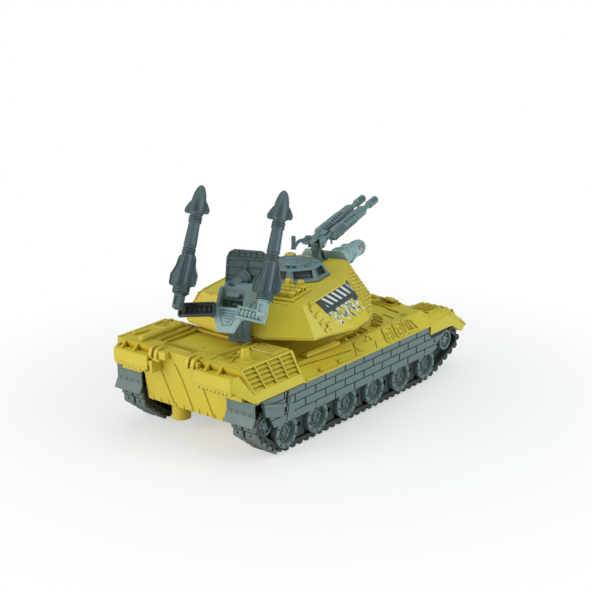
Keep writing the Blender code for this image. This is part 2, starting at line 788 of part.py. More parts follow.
def launcher_head(tilt):
    side_view = [(-17.4, 110.4), (-22.5, 101.8), (8, 101.8), (8, 121), (-3, 125), (-8, 122)]
    head = part("launcher_head", prism(from_tilt(side_view), "x", -11, 11), LIGHT_GREY, tilt)
    cut(head, box((-4.4, 4.4), (-30, 15), (-20, 0)))
    cut(head, rod((-4.4, 0, 0), (4.4, 0, 0), 6.4, sides=28))
    cut(head, rod((-20, 0, 0), (20, 0, 0), AXLE_HOLE_RADIUS, sides=24))
    part("tilt_pin", rod((-10.6, 0, 0), (10.6, 0, 0), AXLE_RADIUS, sides=24), STEEL, tilt)

    outer = [(11, -19.3, 111.5), (12, -22.4, 106.2), (6.4, -29, 95)]
    inner = [(x, y + 1.55, z - 0.91) for x, y, z in outer]
    corners = [(x, y, z - TILT_Z) for x, y, z in both_sides(outer + inner)]
    part("blast_shield", wrapped(corners), LIGHT_GREY, tilt)

    panel = from_tilt([(8.4, 119.0), (11.4, 117.8), (25.5, 144.6), (22.4, 146.4)])
    part("back_panel", prism(panel, "x", -17, 17), DARK_GREY, tilt)
    foot = Vector((0, 11.7, 126.3 - TILT_Z))
    way = Vector((0, -0.89, 0.455))
    nozzle = part("nozzle", rod(foot, foot + way * 7, 6.2, sides=20), DARK_GREY, tilt)
    add(nozzle, rod(foot + way * 6, foot + way * 16, 4.6, 3.6, sides=20))

    socket = box((-5.4, 5.4), (-2.0, 2.0), (-4.8, 3.0))
    turn = Matrix.Rotation(math.radians(BUTTON_SLOPE), 4, "X")
    place = Matrix.Translation((0, BUTTON_PLACE[0], BUTTON_PLACE[1] - TILT_Z))
    bmesh.ops.transform(socket, matrix=place @ turn, verts=socket.verts)
    cut(head, socket)


def launcher_arm(word, side, tilt):
    """An arm that sweeps out and back from the head to the rail block under a missile."""
    near = [(12.4, y, z) for y in (-24.5, -16) for z in (103.5, 111)]
    middle = [(16, y, z) for y in (-30, -24) for z in (104.5, 116)]
    far = [(27.8, y, z) for y in (-37.5, -31) for z in (108.5, 118)]
    near_part = [(side * x, y, z - TILT_Z) for x, y, z in near + middle]
    arm = part(f"{word}_arm", wrapped(near_part), DARK_GREY if side < 0 else LIGHT_GREY, tilt)
    add(arm, wrapped([(side * x, y, z - TILT_Z) for x, y, z in middle + far]))


def missile(word, side, tilt):
    """A rail block with its peg and spring, and the missile that slides off it."""
    y, z = MISSILE_BASE
    rail_axis = axis_empty(
        f"{word}_missile_axis", (side * MISSILE_X, y, z - TILT_Z), turn_x=-MISSILE_LEAN, parent=tilt
    )
    cradle = part(f"{word}_cradle", box((-4.8, 4.8), (-4.8, 4.8), (-14, -0.4), 0.6), LIGHT_GREY, rail_axis)
    add(cradle, rod((0, 0, -2), (0, 0, 13), 1.6, sides=16))
    coil = []
    turns, steps = 5, 10
    for i in range(turns * steps + 1):
        angle = 2 * math.pi * i / steps
        climb = 0.8 + 12.0 * i / (turns * steps)
        coil.append((2.4 * math.cos(angle), 2.4 * math.sin(angle), climb))
    wire(f"{word}_spring", coil, 0.35, STEEL, rail_axis)

    profile = [(0.0, MISSILE_LENGTH)]
    nose, widest, steps = 24.0, MISSILE_RADIUS + 1.3, 6
    shoulder = MISSILE_LENGTH - nose
    for i in range(1, steps + 1):
        along = i / steps
        width = widest * (1 - (1 - along) ** 2) ** 0.7
        profile.append((width, MISSILE_LENGTH - nose * along))
    profile += [
        (widest, shoulder - 6),
        (MISSILE_RADIUS, shoulder - 10),
        (MISSILE_RADIUS, 8.0),
        (MISSILE_RADIUS + 1.4, 5.0),
        (MISSILE_RADIUS + 1.2, 0.0),
        (0.0, 0.0),
    ]
    body = turned(f"{word}_missile", profile, 20, DARK_GREY, rail_axis)
    tail = [(-12.4, 9), (12.4, 9), (12.4, 18), (9, 27), (5, 34), (-5, 34), (-9, 27), (-12.4, 18)]
    add(body, prism(tail, "y", -0.8, 0.8))
    add(body, prism(tail, "x", -0.8, 0.8))
    canard = [(-10.5, 57), (10.5, 57), (10.5, 60), (7, 68), (-7, 68), (-10.5, 60)]
    add(body, prism(canard, "y", -0.7, 0.7))
    add(body, prism(canard, "x", -0.7, 0.7))
    cut(body, rod((0, 0, -3), (0, 0, MISSILE_BORE_DEPTH), MISSILE_BORE_RADIUS, sides=20))


def launch_button(tilt):
    place = (0, BUTTON_PLACE[0], BUTTON_PLACE[1] - TILT_Z)
    pivot = axis_empty("button_axis", place, turn_x=BUTTON_SLOPE, parent=tilt)
    part("launch_button", box((-5, 5), (-1.6, 1.6), (-2.9, 1.6), 0.5), DARK_GREY, pivot)


def centre_footprint():
    """Moves everything together, so that the middle of the footprint stands at x = 0 and y = 0."""
    for obj in bpy.data.objects:
        if obj.parent is None:
            obj.location -= Vector(FOOTPRINT_MIDDLE) * MM


def build():
    upper_hull()
    lower_hull()
    for word, side in (("left", -1), ("right", 1)):
        running_gear(f"{word}_running_gear", side)
        track(f"{word}_track", side)
        mud_flap(f"{word}_mud_flap", side)
    axle_set("front", AXLE_Y)
    axle_set("rear", -AXLE_Y)
    drive()
    electronics()
    batteries()
    power_switch()
    turret = axis_empty("turret_axis", (*TURRET_PLACE, 0), turn_z=TURRET_YAW)
    turret_shell(turret)
    turret_base(turret)
    turret_fittings(turret)
    main_gun(turret)
    machine_guns(turret)
    launcher(turret)
    centre_footprint()


clear_scene()
PARTS = new_collection("rc_tank")
TOOLS = new_collection("cutters")
YELLOW = plastic("yellow_plastic", (0.62, 0.53, 0.07), 0.42)
GREY = plastic("grey_plastic", (0.17, 0.22, 0.21), 0.5)
LIGHT_GREY = plastic("light_grey_plastic", (0.28, 0.38, 0.41), 0.42)
DARK_GREY = plastic("dark_grey_plastic", (0.09, 0.13, 0.15), 0.42)
BLACK = plastic("black_plastic", (0.03, 0.03, 0.035), 0.6)
WHITE = plastic("white_plastic", (0.75, 0.75, 0.72), 0.45)
RED = plastic("red_paint", (0.5, 0.05, 0.04), 0.45)
GREEN = plastic("board_green", (0.03, 0.2, 0.08), 0.5)
CELL = plastic("cell_wrap", (0.1, 0.12, 0.3), 0.4)
STEEL = plastic("steel", (0.6, 0.6, 0.62), 0.3, 1.0)
build()
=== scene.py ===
"""The visual model of a remote control tank toy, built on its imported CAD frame.

Shapes are worked out in millimetres and turn into metres when a mesh is made. +Y is forward, +X is the
right-hand side, and z = 0 is the ground.
"""

import json
import math

import bmesh
import bpy
from mathutils import Matrix, Vector


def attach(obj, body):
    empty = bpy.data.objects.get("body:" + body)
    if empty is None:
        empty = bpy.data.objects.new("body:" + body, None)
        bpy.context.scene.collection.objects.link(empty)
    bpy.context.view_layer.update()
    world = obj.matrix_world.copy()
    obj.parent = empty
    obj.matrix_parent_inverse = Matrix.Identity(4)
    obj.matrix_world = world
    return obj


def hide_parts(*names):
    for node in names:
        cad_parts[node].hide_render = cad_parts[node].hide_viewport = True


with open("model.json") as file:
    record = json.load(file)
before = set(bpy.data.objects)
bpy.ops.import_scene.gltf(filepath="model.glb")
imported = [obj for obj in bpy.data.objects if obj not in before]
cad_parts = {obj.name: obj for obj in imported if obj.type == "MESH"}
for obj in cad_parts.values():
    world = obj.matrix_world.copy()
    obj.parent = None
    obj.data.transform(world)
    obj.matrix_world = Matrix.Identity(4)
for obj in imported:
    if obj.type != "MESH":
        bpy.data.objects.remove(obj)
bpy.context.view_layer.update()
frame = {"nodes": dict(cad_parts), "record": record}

MM = 0.001
SMOOTH_ANGLE = math.radians(22)
STILL = Matrix.Identity(4)
MIRROR = Matrix.Scale(-1, 4, (1, 0, 0))
SIDES = (("left", -1, MIRROR), ("right", 1, STILL))


def at(x, y, z):
    return Matrix.Translation((x, y, z))


def spun(degrees, axis="Z"):
    return Matrix.Rotation(math.radians(degrees), 4, axis)


# Places of the hull and of the turning parts, in millimetres
HULL = at(-3.925, -6.425, 0.0)
TURRET = HULL @ at(2, -6, 0) @ spun(13)
GUN = TURRET @ at(0, 60, 97)
MACHINE_GUNS = TURRET @ at(0, 54, 121)
CRANK = MACHINE_GUNS @ at(0, -17, 9.3)
LAUNCHER = TURRET @ at(2, -90, 0) @ spun(7)
BUTTON = LAUNCHER @ at(0, -10.8, 118.4) @ spun(51, "X")


def missile_place(side):
    return LAUNCHER @ at(side * 33.0, -33.8, 124.0) @ spun(-33.2, "X")


# Shapes, as bmeshes in millimetres --------------------------------------------------------------


def box(x, y, z, chamfer=0.0):
    """A block between the low and high values of x, y and z, with its edges chamfered."""
    bm = bmesh.new()
    bmesh.ops.create_cube(bm, size=1.0)
    size = Vector((x[1] - x[0], y[1] - y[0], z[1] - z[0]))
    middle = Vector((x[1] + x[0], y[1] + y[0], z[1] + z[0])) / 2
    bmesh.ops.scale(bm, vec=size, verts=bm.verts)
    bmesh.ops.translate(bm, vec=middle, verts=bm.verts)
    if chamfer:
        bmesh.ops.bevel(bm, geom=bm.edges[:], offset=chamfer, segments=2, affect="EDGES", profile=0.6)
    return bm


def rod(start, end, radius, end_radius=None, sides=32):
    """A round bar or a cone between two points."""
    start, end = Vector(start), Vector(end)
    way = end - start
    bm = bmesh.new()
    tip = radius if end_radius is None else end_radius
    bmesh.ops.create_cone(bm, cap_ends=True, segments=sides, radius1=radius, radius2=tip, depth=way.length)
    turn = Vector((0, 0, 1)).rotation_difference(way.normalized()).to_matrix().to_4x4()
    bmesh.ops.transform(bm, matrix=Matrix.Translation((start + end) / 2) @ turn, verts=bm.verts)
    return bm


def prism(outline, axis, low, high):
    """A flat outline, given in the two other axes, pushed along x, y or z."""
    place = {
        "x": lambda a, b: (low, a, b),
        "y": lambda a, b: (a, low, b),
        "z": lambda a, b: (a, b, low),
    }[axis]
    push = {"x": (high - low, 0, 0), "y": (0, high - low, 0), "z": (0, 0, high - low)}[axis]
    bm = bmesh.new()
    face = bm.faces.new([bm.verts.new(place(a, b)) for a, b in outline])
    grown = bmesh.ops.extrude_face_region(bm, geom=[face])["geom"]
    corners = [v for v in grown if isinstance(v, bmesh.types.BMVert)]
    bmesh.ops.translate(bm, vec=push, verts=corners)
    bmesh.ops.recalc_face_normals(bm, faces=bm.faces)
    return bm


def wrapped(points):
    """The tight skin around some corner points."""
    bm = bmesh.new()
    for point in dict.fromkeys(tuple(p) for p in points):
        bm.verts.new(point)
    found = bmesh.ops.convex_hull(bm, input=bm.verts)
    spare = {v for v in found["geom_interior"] + found["geom_unused"] if isinstance(v, bmesh.types.BMVert)}
    bmesh.ops.delete(bm, geom=list(spare), context="VERTS")
    bmesh.ops.dissolve_limit(bm, angle_limit=math.radians(0.5), verts=bm.verts, edges=bm.edges)
    bmesh.ops.recalc_face_normals(bm, faces=bm.faces)
    return bm


def circle(count, radius, phase=0.0):
    """Evenly spaced (x, y) points on a circle. The phase is in steps."""
    angles = [2 * math.pi * (k + phase) / count for k in range(count)]
    return [(radius * math.cos(angle), radius * math.sin(angle)) for angle in angles]


def tapered(x, y, z, top_x, top_y):
    """A block between two heights, with another rectangle at its top than at its foot."""
    foot = [(a, b, z[0]) for a in x for b in y]
    return wrapped(foot + [(a, b, z[1]) for a in top_x for b in top_y])


def lathe(profile, sides=40):
    """A profile of (radius, height) points, closed at both ends on z, spun about z."""
    bm = bmesh.new()
    rings = []
    for radius, height in profile:
        if radius < 0.001:
            rings.append([bm.verts.new((0, 0, height))])
        else:
            rings.append([bm.verts.new((x, y, height)) for x, y in circle(sides, radius)])
    for low, high in zip(rings, rings[1:]):
        for i in range(sides):
            j = (i + 1) % sides
            if len(low) == 1:
                bm.faces.new((low[0], high[i], high[j]))
            elif len(high) == 1:
                bm.faces.new((low[i], low[j], high[0]))
            else:
                bm.faces.new((low[i], low[j], high[j], high[i]))
    bmesh.ops.recalc_face_normals(bm, faces=bm.faces)
    return bm


def tube(points, radius, sides=14):
    """A round bar along a path, with flat ends."""
    path = [Vector(p) for p in points]
    bm = bmesh.new()
    rings = []
    side = Vector((0.31, 0.17, 0.93))
    for i, here in enumerate(path):
        way = (path[min(i + 1, len(path) - 1)] - path[max(i - 1, 0)]).normalized()
        side = (side - way * side.dot(way)).normalized()
        other = way.cross(side)
        rings.append([bm.verts.new(here + side * x + other * y) for x, y in circle(sides, radius)])
    for low, high in zip(rings, rings[1:]):
        for k in range(sides):
            j = (k + 1) % sides
            bm.faces.new((low[k], low[j], high[j], high[k]))
    bm.faces.new(rings[0][::-1])
    bm.faces.new(rings[-1])
    bmesh.ops.recalc_face_normals(bm, faces=bm.faces)
    return bm


def ball(centre, radius, squash=1.0):
    bm = bmesh.new()
    bmesh.ops.create_uvsphere(bm, u_segments=20, v_segments=12, radius=radius)
    bmesh.ops.scale(bm, vec=(1, 1, squash), verts=bm.verts)
    bmesh.ops.translate(bm, vec=centre, verts=bm.verts)
    return bm


def moved(bm, matrix):
    bmesh.ops.transform(bm, matrix=matrix, verts=bm.verts)
    if matrix.determinant() < 0:
        bmesh.ops.reverse_faces(bm, faces=bm.faces)
    return bm


def pair(shapes):
    """The shapes and their mirror images across x = 0."""
    return list(shapes) + [moved(shape.copy(), MIRROR) for shape in shapes]


def both_sides(points):
    return list(points) + [(-x, y, z) for x, y, z in points]


def together(shapes):
    whole = bmesh.new()
    for shape in shapes:
        mesh = bpy.data.meshes.new("piece")
        shape.to_mesh(mesh)
        shape.free()
        whole.from_mesh(mesh)
        bpy.data.meshes.remove(mesh)
    return whole


def inset(outline, distance):
    """The outline moved inwards by a distance. It runs anticlockwise."""
    result = []
    for i, here in enumerate(outline):
        before = Vector(outline[i - 1])
        after = Vector(outline[(i + 1) % len(outline)])
        here = Vector(here)
        first = (here - before).normalized()
        second = (after - here).normalized()
        inward = Vector((-first.y - second.y, first.x + second.x)).normalized()
        lean = inward.dot(Vector((-first.y, first.x)))
        result.append(tuple(here + inward * distance / lean))
    return result


def facing(origin, along, out):
    """A frame at origin with x along, z outwards and y the third way."""
    z = Vector(out).normalized()
    x = Vector(along)
    x = (x - z * x.dot(z)).normalized()
    y = z.cross(x)
    turn = Matrix((x, y, z)).transposed().to_4x4()
    return Matrix.Translation(origin) @ turn


def forward(x=0.0, y=0.0, z=0.0):
    """A frame with its z axis pointing forward, for turned shapes that lie along +Y."""
    return at(x, y, z) @ spun(-90, "X")


def stroke(points, width, low, high):
    """Flat bars of one width along a path in x and y, between two heights.

    Every second bar is a little thicker, so that no two faces lie in one plane where bars overlap.
    """
    shapes = []
    for i, (start, end) in enumerate(zip(points, points[1:])):
        start, end = Vector(start), Vector(end)
        way = (end - start).normalized() * width / 2
        side = Vector((-way.y, way.x))
        corners = [start - way - side, end + way - side, end + way + side, start - way + side]
        lift = 0.05 * (i % 2)
        shapes.append(prism([tuple(c) for c in corners], "z", low - lift, high + lift))
    return shapes


def rounded(half_x, half_y, radius, steps=6):
    """The outline of a rectangle with round corners, anticlockwise."""
    outline = []
    for quarter, (side_x, side_y) in enumerate(((1, -1), (1, 1), (-1, 1), (-1, -1))):
        x, y = side_x * (half_x - radius), side_y * (half_y - radius)
        for k in range(steps + 1):
            angle = math.radians(90 * (quarter - 1 + k / steps))
            outline.append((x + radius * math.cos(angle), y + radius * math.sin(angle)))
    return outline


def raw(name, bm):
    mesh = bpy.data.meshes.new(name)
    bm.to_mesh(mesh)
    bm.free()
    obj = bpy.data.objects.new(name, mesh)
    bpy.context.scene.collection.objects.link(obj)
    return obj


def carved(base, *groups):
    """The base with each group of cutters taken away in turn. Cutters of one group don't overlap."""
    for cutters in groups:
        bmesh.ops.triangulate(base, faces=base.faces)
        block = raw("block", base)
        tool = raw("tool", together(cutters))
        modifier = block.modifiers.new("cut", "BOOLEAN")
        modifier.operation = "DIFFERENCE"
        modifier.object = tool
        found = block.evaluated_get(bpy.context.evaluated_depsgraph_get())
        mesh = bpy.data.meshes.new_from_object(found)
        base = bmesh.new()
        base.from_mesh(mesh)
        bmesh.ops.remove_doubles(base, verts=base.verts, dist=0.002)
        for obj in (block, tool):
            bpy.data.objects.remove(obj)
        bpy.data.meshes.remove(mesh)
    bmesh.ops.dissolve_limit(base, angle_limit=math.radians(0.4), verts=base.verts, edges=base.edges)
    return base


def piece(name, body, finish, shapes, place=HULL, instead_of=(), edge=0.22, smooth=SMOOTH_ANGLE):
    """One visible piece: its shapes in one mesh, its edges rounded, riding on a body."""
    bm = together(shapes)
    moved(bm, Matrix.Scale(MM, 4) @ place)
    obj = raw(name, bm)
    obj.data.materials.append(FINISHES[finish][0])
    obj.data.shade_smooth()
    obj.data.set_sharp_from_angle(angle=smooth)
    if edge:
        bevel = obj.modifiers.new("edges", "BEVEL")
        bevel.width = edge * MM
        bevel.segments = 2
        bevel.limit_method = "ANGLE"
        bevel.angle_limit = math.radians(34)
        bevel.use_clamp_overlap = False
    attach(obj, body)
    if instead_of:
        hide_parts(*instead_of)


def hull_pair(name, finish, shapes, node_name=None, edge=0.15):
    """A left and a right piece of the hull, from shapes that are given for the right-hand side."""
    for word, _, flip in SIDES:
        copies = [moved(shape.copy(), flip) for shape in shapes]
        stand_in = (f"{word}_{node_name}",) if node_name else ()
        piece(f"{word}_{name}", "hull", finish, copies, instead_of=stand_in, edge=edge)
    for shape in shapes:
        shape.free()


# Materials --------------------------------------------------------------------------------------


def node(tree, kind, **values):
    """A shader node, with its settings and its input values."""
    made = tree.nodes.new(kind)
    for key, value in values.items():
        if hasattr(made, key):
            setattr(made, key, value)
        else:
            made.inputs[key.replace("_", " ")].default_value = value
    return made


def ramp(tree, source, low, high):
    """A value stretched from low..high to 0..1."""
    made = node(tree, "ShaderNodeMapRange")
    made.inputs["From Min"].default_value = low
    made.inputs["From Max"].default_value = high
    tree.links.new(source, made.inputs["Value"])
    return made.outputs["Result"]


def mix(tree, factor, first, second):
    """Two colours mixed. Each is a socket or a colour."""
    made = tree.nodes.new("ShaderNodeMix")
    made.data_type = "RGBA"
    for socket, value in ((made.inputs[0], factor), (made.inputs[6], first), (made.inputs[7], second)):
        if isinstance(value, bpy.types.NodeSocket):
            tree.links.new(value, socket)
        else:
            socket.default_value = value if isinstance(value, float) else (*value, 1.0)
    return made.outputs[2]


def noise(tree, coords, scale, detail=3.0):
    made = node(tree, "ShaderNodeTexNoise", Scale=scale, Detail=detail)
    tree.links.new(coords, made.inputs["Vector"])
    return made.outputs["Fac"]


def combine(tree, operation, *values):
    """A sum of sockets and numbers, with its result kept between 0 and 1."""
    made = node(tree, "ShaderNodeMath", operation=operation, use_clamp=True)
    for socket, value in zip(made.inputs, values):
        if isinstance(value, bpy.types.NodeSocket):
            tree.links.new(value, socket)
        else:
            socket.default_value = value
    return made.outputs[0]


def tinted(colour, factor, lift=0.0):
    return tuple(min(1.0, c * factor + lift) for c in colour)


def moulded(name, colour, crevice_shade_colour, rough, wear_highlight_amount, metallic=0.0):
    """Moulded plastic: cloudy tone, a fine grain, painted shade in crevices, and paler edges that are partly
    rubbed wear and partly painted highlight.
    """
    material = bpy.data.materials.new(name)
    material.use_nodes = True
    tree = material.node_tree
    shader = tree.nodes["Principled BSDF"]
    place = tree.nodes.new("ShaderNodeTexCoord").outputs["Object"]

    cloud = ramp(tree, noise(tree, place, 28.0), 0.3, 0.7)
    base = mix(tree, cloud, tinted(colour, 0.93), tinted(colour, 1.06))
    speck = ramp(tree, noise(tree, place, 900.0, 1.0), 0.35, 0.75)
    base = mix(tree, speck, base, tinted(colour, 0.96))

    # Painted shade: ambient occlusion pulls the colour towards the crevice shade colour in crevices and
    # recesses.
    shade = node(tree, "ShaderNodeAmbientOcclusion", samples=6, Distance=0.0035)
    base = mix(tree, ramp(tree, shade.outputs["AO"], 0.05, 0.8), crevice_shade_colour, base)

    # Edge wear with painted highlight: edges found by the bevel normal turn paler in noisy patches.
    soft = node(tree, "ShaderNodeBevel", samples=4, Radius=0.0005)
    plain = tree.nodes.new("ShaderNodeNewGeometry")
    turn = node(tree, "ShaderNodeVectorMath", operation="DOT_PRODUCT")
    tree.links.new(soft.outputs["Normal"], turn.inputs[0])
    tree.links.new(plain.outputs["Normal"], turn.inputs[1])
    edge_wear_highlight_band = ramp(tree, turn.outputs["Value"], 0.995, 0.85)
    patches = ramp(tree, noise(tree, place, 160.0), 0.35, 0.8)
    edge_wear_and_highlight = combine(tree, "MULTIPLY", combine(tree, "MULTIPLY", edge_wear_highlight_band, patches), wear_highlight_amount)
    base = mix(tree, edge_wear_and_highlight, base, tinted(colour, 1.25, 0.05))
    tree.links.new(base, shader.inputs["Base Color"])

    gloss = node(tree, "ShaderNodeMapRange")
    gloss.inputs["To Min"].default_value = rough - 0.07
    gloss.inputs["To Max"].default_value = rough + 0.09
    tree.links.new(noise(tree, place, 75.0), gloss.inputs["Value"])
    tree.links.new(gloss.outputs["Result"], shader.inputs["Roughness"])

    bump = node(tree, "ShaderNodeBump", Strength=0.25, Distance=0.00008)
    tree.links.new(soft.outputs["Normal"], bump.inputs["Normal"])
    tree.links.new(noise(tree, place, 2600.0, 2.0), bump.inputs["Height"])
    tree.links.new(bump.outputs["Normal"], shader.inputs["Normal"])
    shader.inputs["Metallic"].default_value = metallic
    return material


def camouflage(name):
    """A printed sticker: a dark panel with plain slanted bars, and ragged blots under it.

    Its UV map runs from 0 to 1 across the sticker, with the panel in its upper part.
    """
    panel_foot = 0.48
    yellow, pale, white = (0.655, 0.52, 0.035), (0.72, 0.76, 0.7), (0.7, 0.74, 0.7)
    slate, black = (0.19, 0.25, 0.29), (0.045, 0.05, 0.048)
    material = moulded(name, (0.05, 0.062, 0.06), (0.03, 0.035, 0.035), 0.35, 0.0)
    tree = material.node_tree
    shader = tree.nodes["Principled BSDF"]
    panel = shader.inputs["Base Color"].links[0].from_socket
    uv = tree.nodes.new("ShaderNodeTexCoord").outputs["UV"]
    split = tree.nodes.new("ShaderNodeSeparateXYZ")
    tree.links.new(uv, split.inputs[0])
    across, up = split.outputs["X"], split.outputs["Y"]

    def over(socket, threshold, sharp=0.01):
        return ramp(tree, socket, threshold - sharp, threshold + sharp)

    def under(socket, threshold):
        return over(combine(tree, "SUBTRACT", threshold, socket), 0.0)

    def both(first, second):
        return combine(tree, "MULTIPLY", first, second)

    spread = node(tree, "ShaderNodeMapping")
    spread.inputs["Scale"].default_value = (2.9, 1.0, 1.0)
    tree.links.new(uv, spread.inputs["Vector"])
    moved_on = node(tree, "ShaderNodeMapping")
    moved_on.inputs["Location"].default_value = (7.3, 2.1, 0.0)
    tree.links.new(spread.outputs[0], moved_on.inputs["Vector"])
    blots = noise(tree, spread.outputs[0], 3.4, 1.0)
    others = noise(tree, moved_on.outputs[0], 4.0, 1.0)
    ragged = mix(tree, over(others, 0.53), slate, pale)
    ragged = mix(tree, over(blots, 0.6), ragged, black)
    ragged = mix(tree, over(combine(tree, "SUBTRACT", 1.0, others), 0.58), ragged, yellow)
    fringe = combine(tree, "ADD", blots, combine(tree, "MULTIPLY", up, 0.32))
    ragged = mix(tree, over(fringe, 0.535), yellow, ragged)

    wave = node(tree, "ShaderNodeTexWave", Scale=1.5, Distortion=0.0, bands_direction="DIAGONAL")
    tree.links.new(spread.outputs[0], wave.inputs["Vector"])
    bars = both(over(wave.outputs["Fac"], 0.62, 0.03), both(over(up, 0.62), under(up, 0.92)))
    bars = both(bars, both(over(across, 0.14), under(across, 0.86)))
    top = mix(tree, bars, panel, white)
    tree.links.new(mix(tree, over(up, panel_foot), ragged, top), shader.inputs["Base Color"])
    return material


# Hull -------------------------------------------------------------------------------------------

SIDE = facing((73, 0, 51), (0, 1, 0), (9, 0, 14))
DECK_Z, ENGINE_Z = 60, 76.0
WHEEL_YS = [-95 + 38 * i for i in range(6)]


def on_side(outline, low, high):
    """An outline of (y, distance up the side slope) points, pushed out of the right-hand slope."""
    return moved(prism(outline, "z", low, high), SIDE)


def side_stroke(points, width, low, high):
    return [moved(bar, SIDE) for bar in stroke(points, width, low, high)]


def side_hatches():
    """Two rounded hatch covers on the slope with chevrons and a small hole each, and a raised outline with a
    bar pattern.
    """
    covers, marks, holes = [], [], []
    hatches = (((36.3, 49.4), (43.6, 52.4)), ((52.4, 65.8), (58.6, 67.6)))
    for (low_a, low_b), (high_a, high_b) in hatches:
        outline = [
            (low_a + 1, 1.4), (low_b - 1, 1.4), (low_b + 0.6, 2.6), (high_b + 1, 13.6),
            (high_b - 0.6, 15.4), (high_a + 0.6, 15.8), (high_a - 1, 14.4), (low_a - 0.2, 2.8),
        ]
        covers.append(carved(on_side(outline, -1, 1.3), [on_side(inset(outline, 1.3), 0.55, 3)]))
        middle = (low_a + low_b + high_a + high_b) / 4
        for turn in (-1, 1):
            for up in (4.4, 9.2):
                bend = middle + 0.4 + (up - 7) * 0.42 + turn * 1.2
                path = [(bend + turn * 2, up - 1.3), (bend, up), (bend + turn * 2, up + 1.3)]
                marks += side_stroke(path, 1.25, 0.3, 1.2)
        holes.append(moved(rod((middle + 2.4, 12.6, -2), (middle + 2.4, 12.6, 3), 0.9, sides=14), SIDE))
    rim = [(72.6, 15), (70.4, 11), (67.2, 2.2), (82.2, 2.2), (83, 12), (79, 15.4), (74.4, 15.6)]
    marks += side_stroke(rim, 1.6, -0.2, 1.1)
    for start in (72.4, 74.8, 77.2):
        marks += side_stroke([(start, 5), (start + 1.8, 12)], 1.2, -0.2, 0.9)
    marks += side_stroke([(71, 8.6), (80, 8.8)], 0.7, -0.2, 0.8)
    return covers, marks, holes


def side_fittings():
    """Rails, clips, a hook shape and tick marks on the slope beside the turret."""
    angles = [math.radians(70 + 20 * k) for k in range(11)]
    arc = [(6.4 + 5.6 * math.cos(a), 9.2 + 4.4 * math.sin(a)) for a in angles]
    marks = (
        ([(-71.5, 0.9), (-2, 0.9)], 1.5, -0.4, 0.8),
        ([(-65, 17), (-5, 13.2)], 1.5, -0.6, 1.3),
        (arc, 2, -0.3, 0.9),
        ([(9.4, 13.4), (20.6, 13.2)], 1.8, -0.3, 0.8),
        ([(14.4, 12.9), (14.2, 11.4)], 0.9, -0.3, 0.9),
        ([(17.8, 11), (20.6, 13.2), (22, 15.2)], 1.6, -0.3, 0.9),
        ([(23.4, 14.8), (24.6, 12), (24, 10.6)], 1.6, -0.3, 0.9),
        ([(-1.5, 7.2), (-5.7, 1.9)], 1.2, -0.3, 0.7),
        ([(26.1, 7.2), (21.9, 1.9)], 1.2, -0.3, 0.7),
    )
    parts = []
    for path, width, low, high in marks:
        parts += side_stroke(path, width, low, high)
    for y in (-50.6, -26.4):
        parts.append(moved(box((y - 2.2, y + 2.2), (3, 5), (-0.5, 1.9), 0.45), SIDE))
        parts.append(moved(box((y - 2.8, y - 1.4), (2.6, 5.4), (-0.5, 1.2), 0.3), SIDE))
    return parts


def side_pinholes():
    count = 26
    holes = []
    for k in range(count):
        y, up = Vector((-65.3, 14.3)).lerp(Vector((-6.8, 9.3)), k / (count - 1))
        holes.append(moved(box((y - 0.62, y + 0.62), (up - 0.7, up + 0.7), (-0.9, 1.5)), SIDE))
    return holes


def deck():
    """The main deck and side slopes, with its turret well, hatch holes, pin holes and front slots."""
    outline = [(-73, 50.3), (73, 50.3), (73, 51), (59, DECK_Z), (-59, DECK_Z), (-73, 51)]
    covers, marks, holes = side_hatches()
    paths = ([(30.7, 73.4), (42.4, 69)], [(38, 77), (51, 73)], [(39.4, 57.6), (51.4, 56.6)])
    cuts = [bar for path in paths for bar in stroke(path, 2, 58.4, 61)]
    cuts += [box((44.6, 54.4), (38.4, 50.2), (58, 61)), box((43, 54.6), (-6, 36.6), (57.6, 61))]
    well = rod((2, -6, 54), (2, -6, 65), 31, sides=72)
    slab = carved(prism(outline, "y", -129, 106), [well], pair(cuts), pair(holes + side_pinholes()))
    on_deck = [moved(shape, at(0, 0, DECK_Z)) for shape in deck_fittings()]
    parts = [slab] + pair(covers + marks + side_fittings()) + pair(on_deck)
    foot = [(x, y, z) for x in (-1.6, 1.6) for y, z in ((112.2, 59.6), (115.8, 59.4))]
    for k in range(8):
        crest = foot + [(-0.7, 113.6, 62), (0.7, 113.6, 62)]
        parts.append(moved(wrapped(crest), at(25 - 7.1 * k, 0, 0)))
    piece("hull_deck", "hull", "yellow", parts, instead_of=("upper_hull",), edge=0)


def deck_fittings():
    """Rails, ridges and hooks on the right half of the deck, with heights measured from the deck."""
    fittings = [
        box((50.4, 57.4), (-52.4, -9.4), (-1, 2.9), 0.9),
        box((52, 56), (-50, -12), (2.4, 3.7), 0.5),
        box((41, 46), (-56, -30), (-0.6, 1.2), 0.5),
    ]
    for y in (2, 17.6, 32.4):
        fittings.append(box((46, 54), (y - 3.4, y - 1.4), (-2.6, 0.2), 0.3))
        fittings.append(tube([(47.5, y, -1.8), (50.5, y, 0.4), (53, y, 0.8), (54.2, y, -0.2)], 1.1))
        fittings.append(ball((54.3, y, 0.2), 1.45))
    fittings += stroke([(9, 98.4), (27, 96.2), (35.8, 91), (46.4, 88.8)], 1.5, -0.4, 1.3)
    fittings += stroke([(14, 103.4), (30, 101)], 1.2, -0.4, 0.9)
    for x, y in ((36, 66.6), (40, 61.4), (44, 53.4)):
        fittings += stroke([(x, y), (x + 11, y - 2.4)], 1.4, -0.4, 1.1)
    fittings += [box((51, 56), (y - 1, y + 1), (-0.4, 1), 0.4) for y in (84.5, 88.5)]
    return fittings


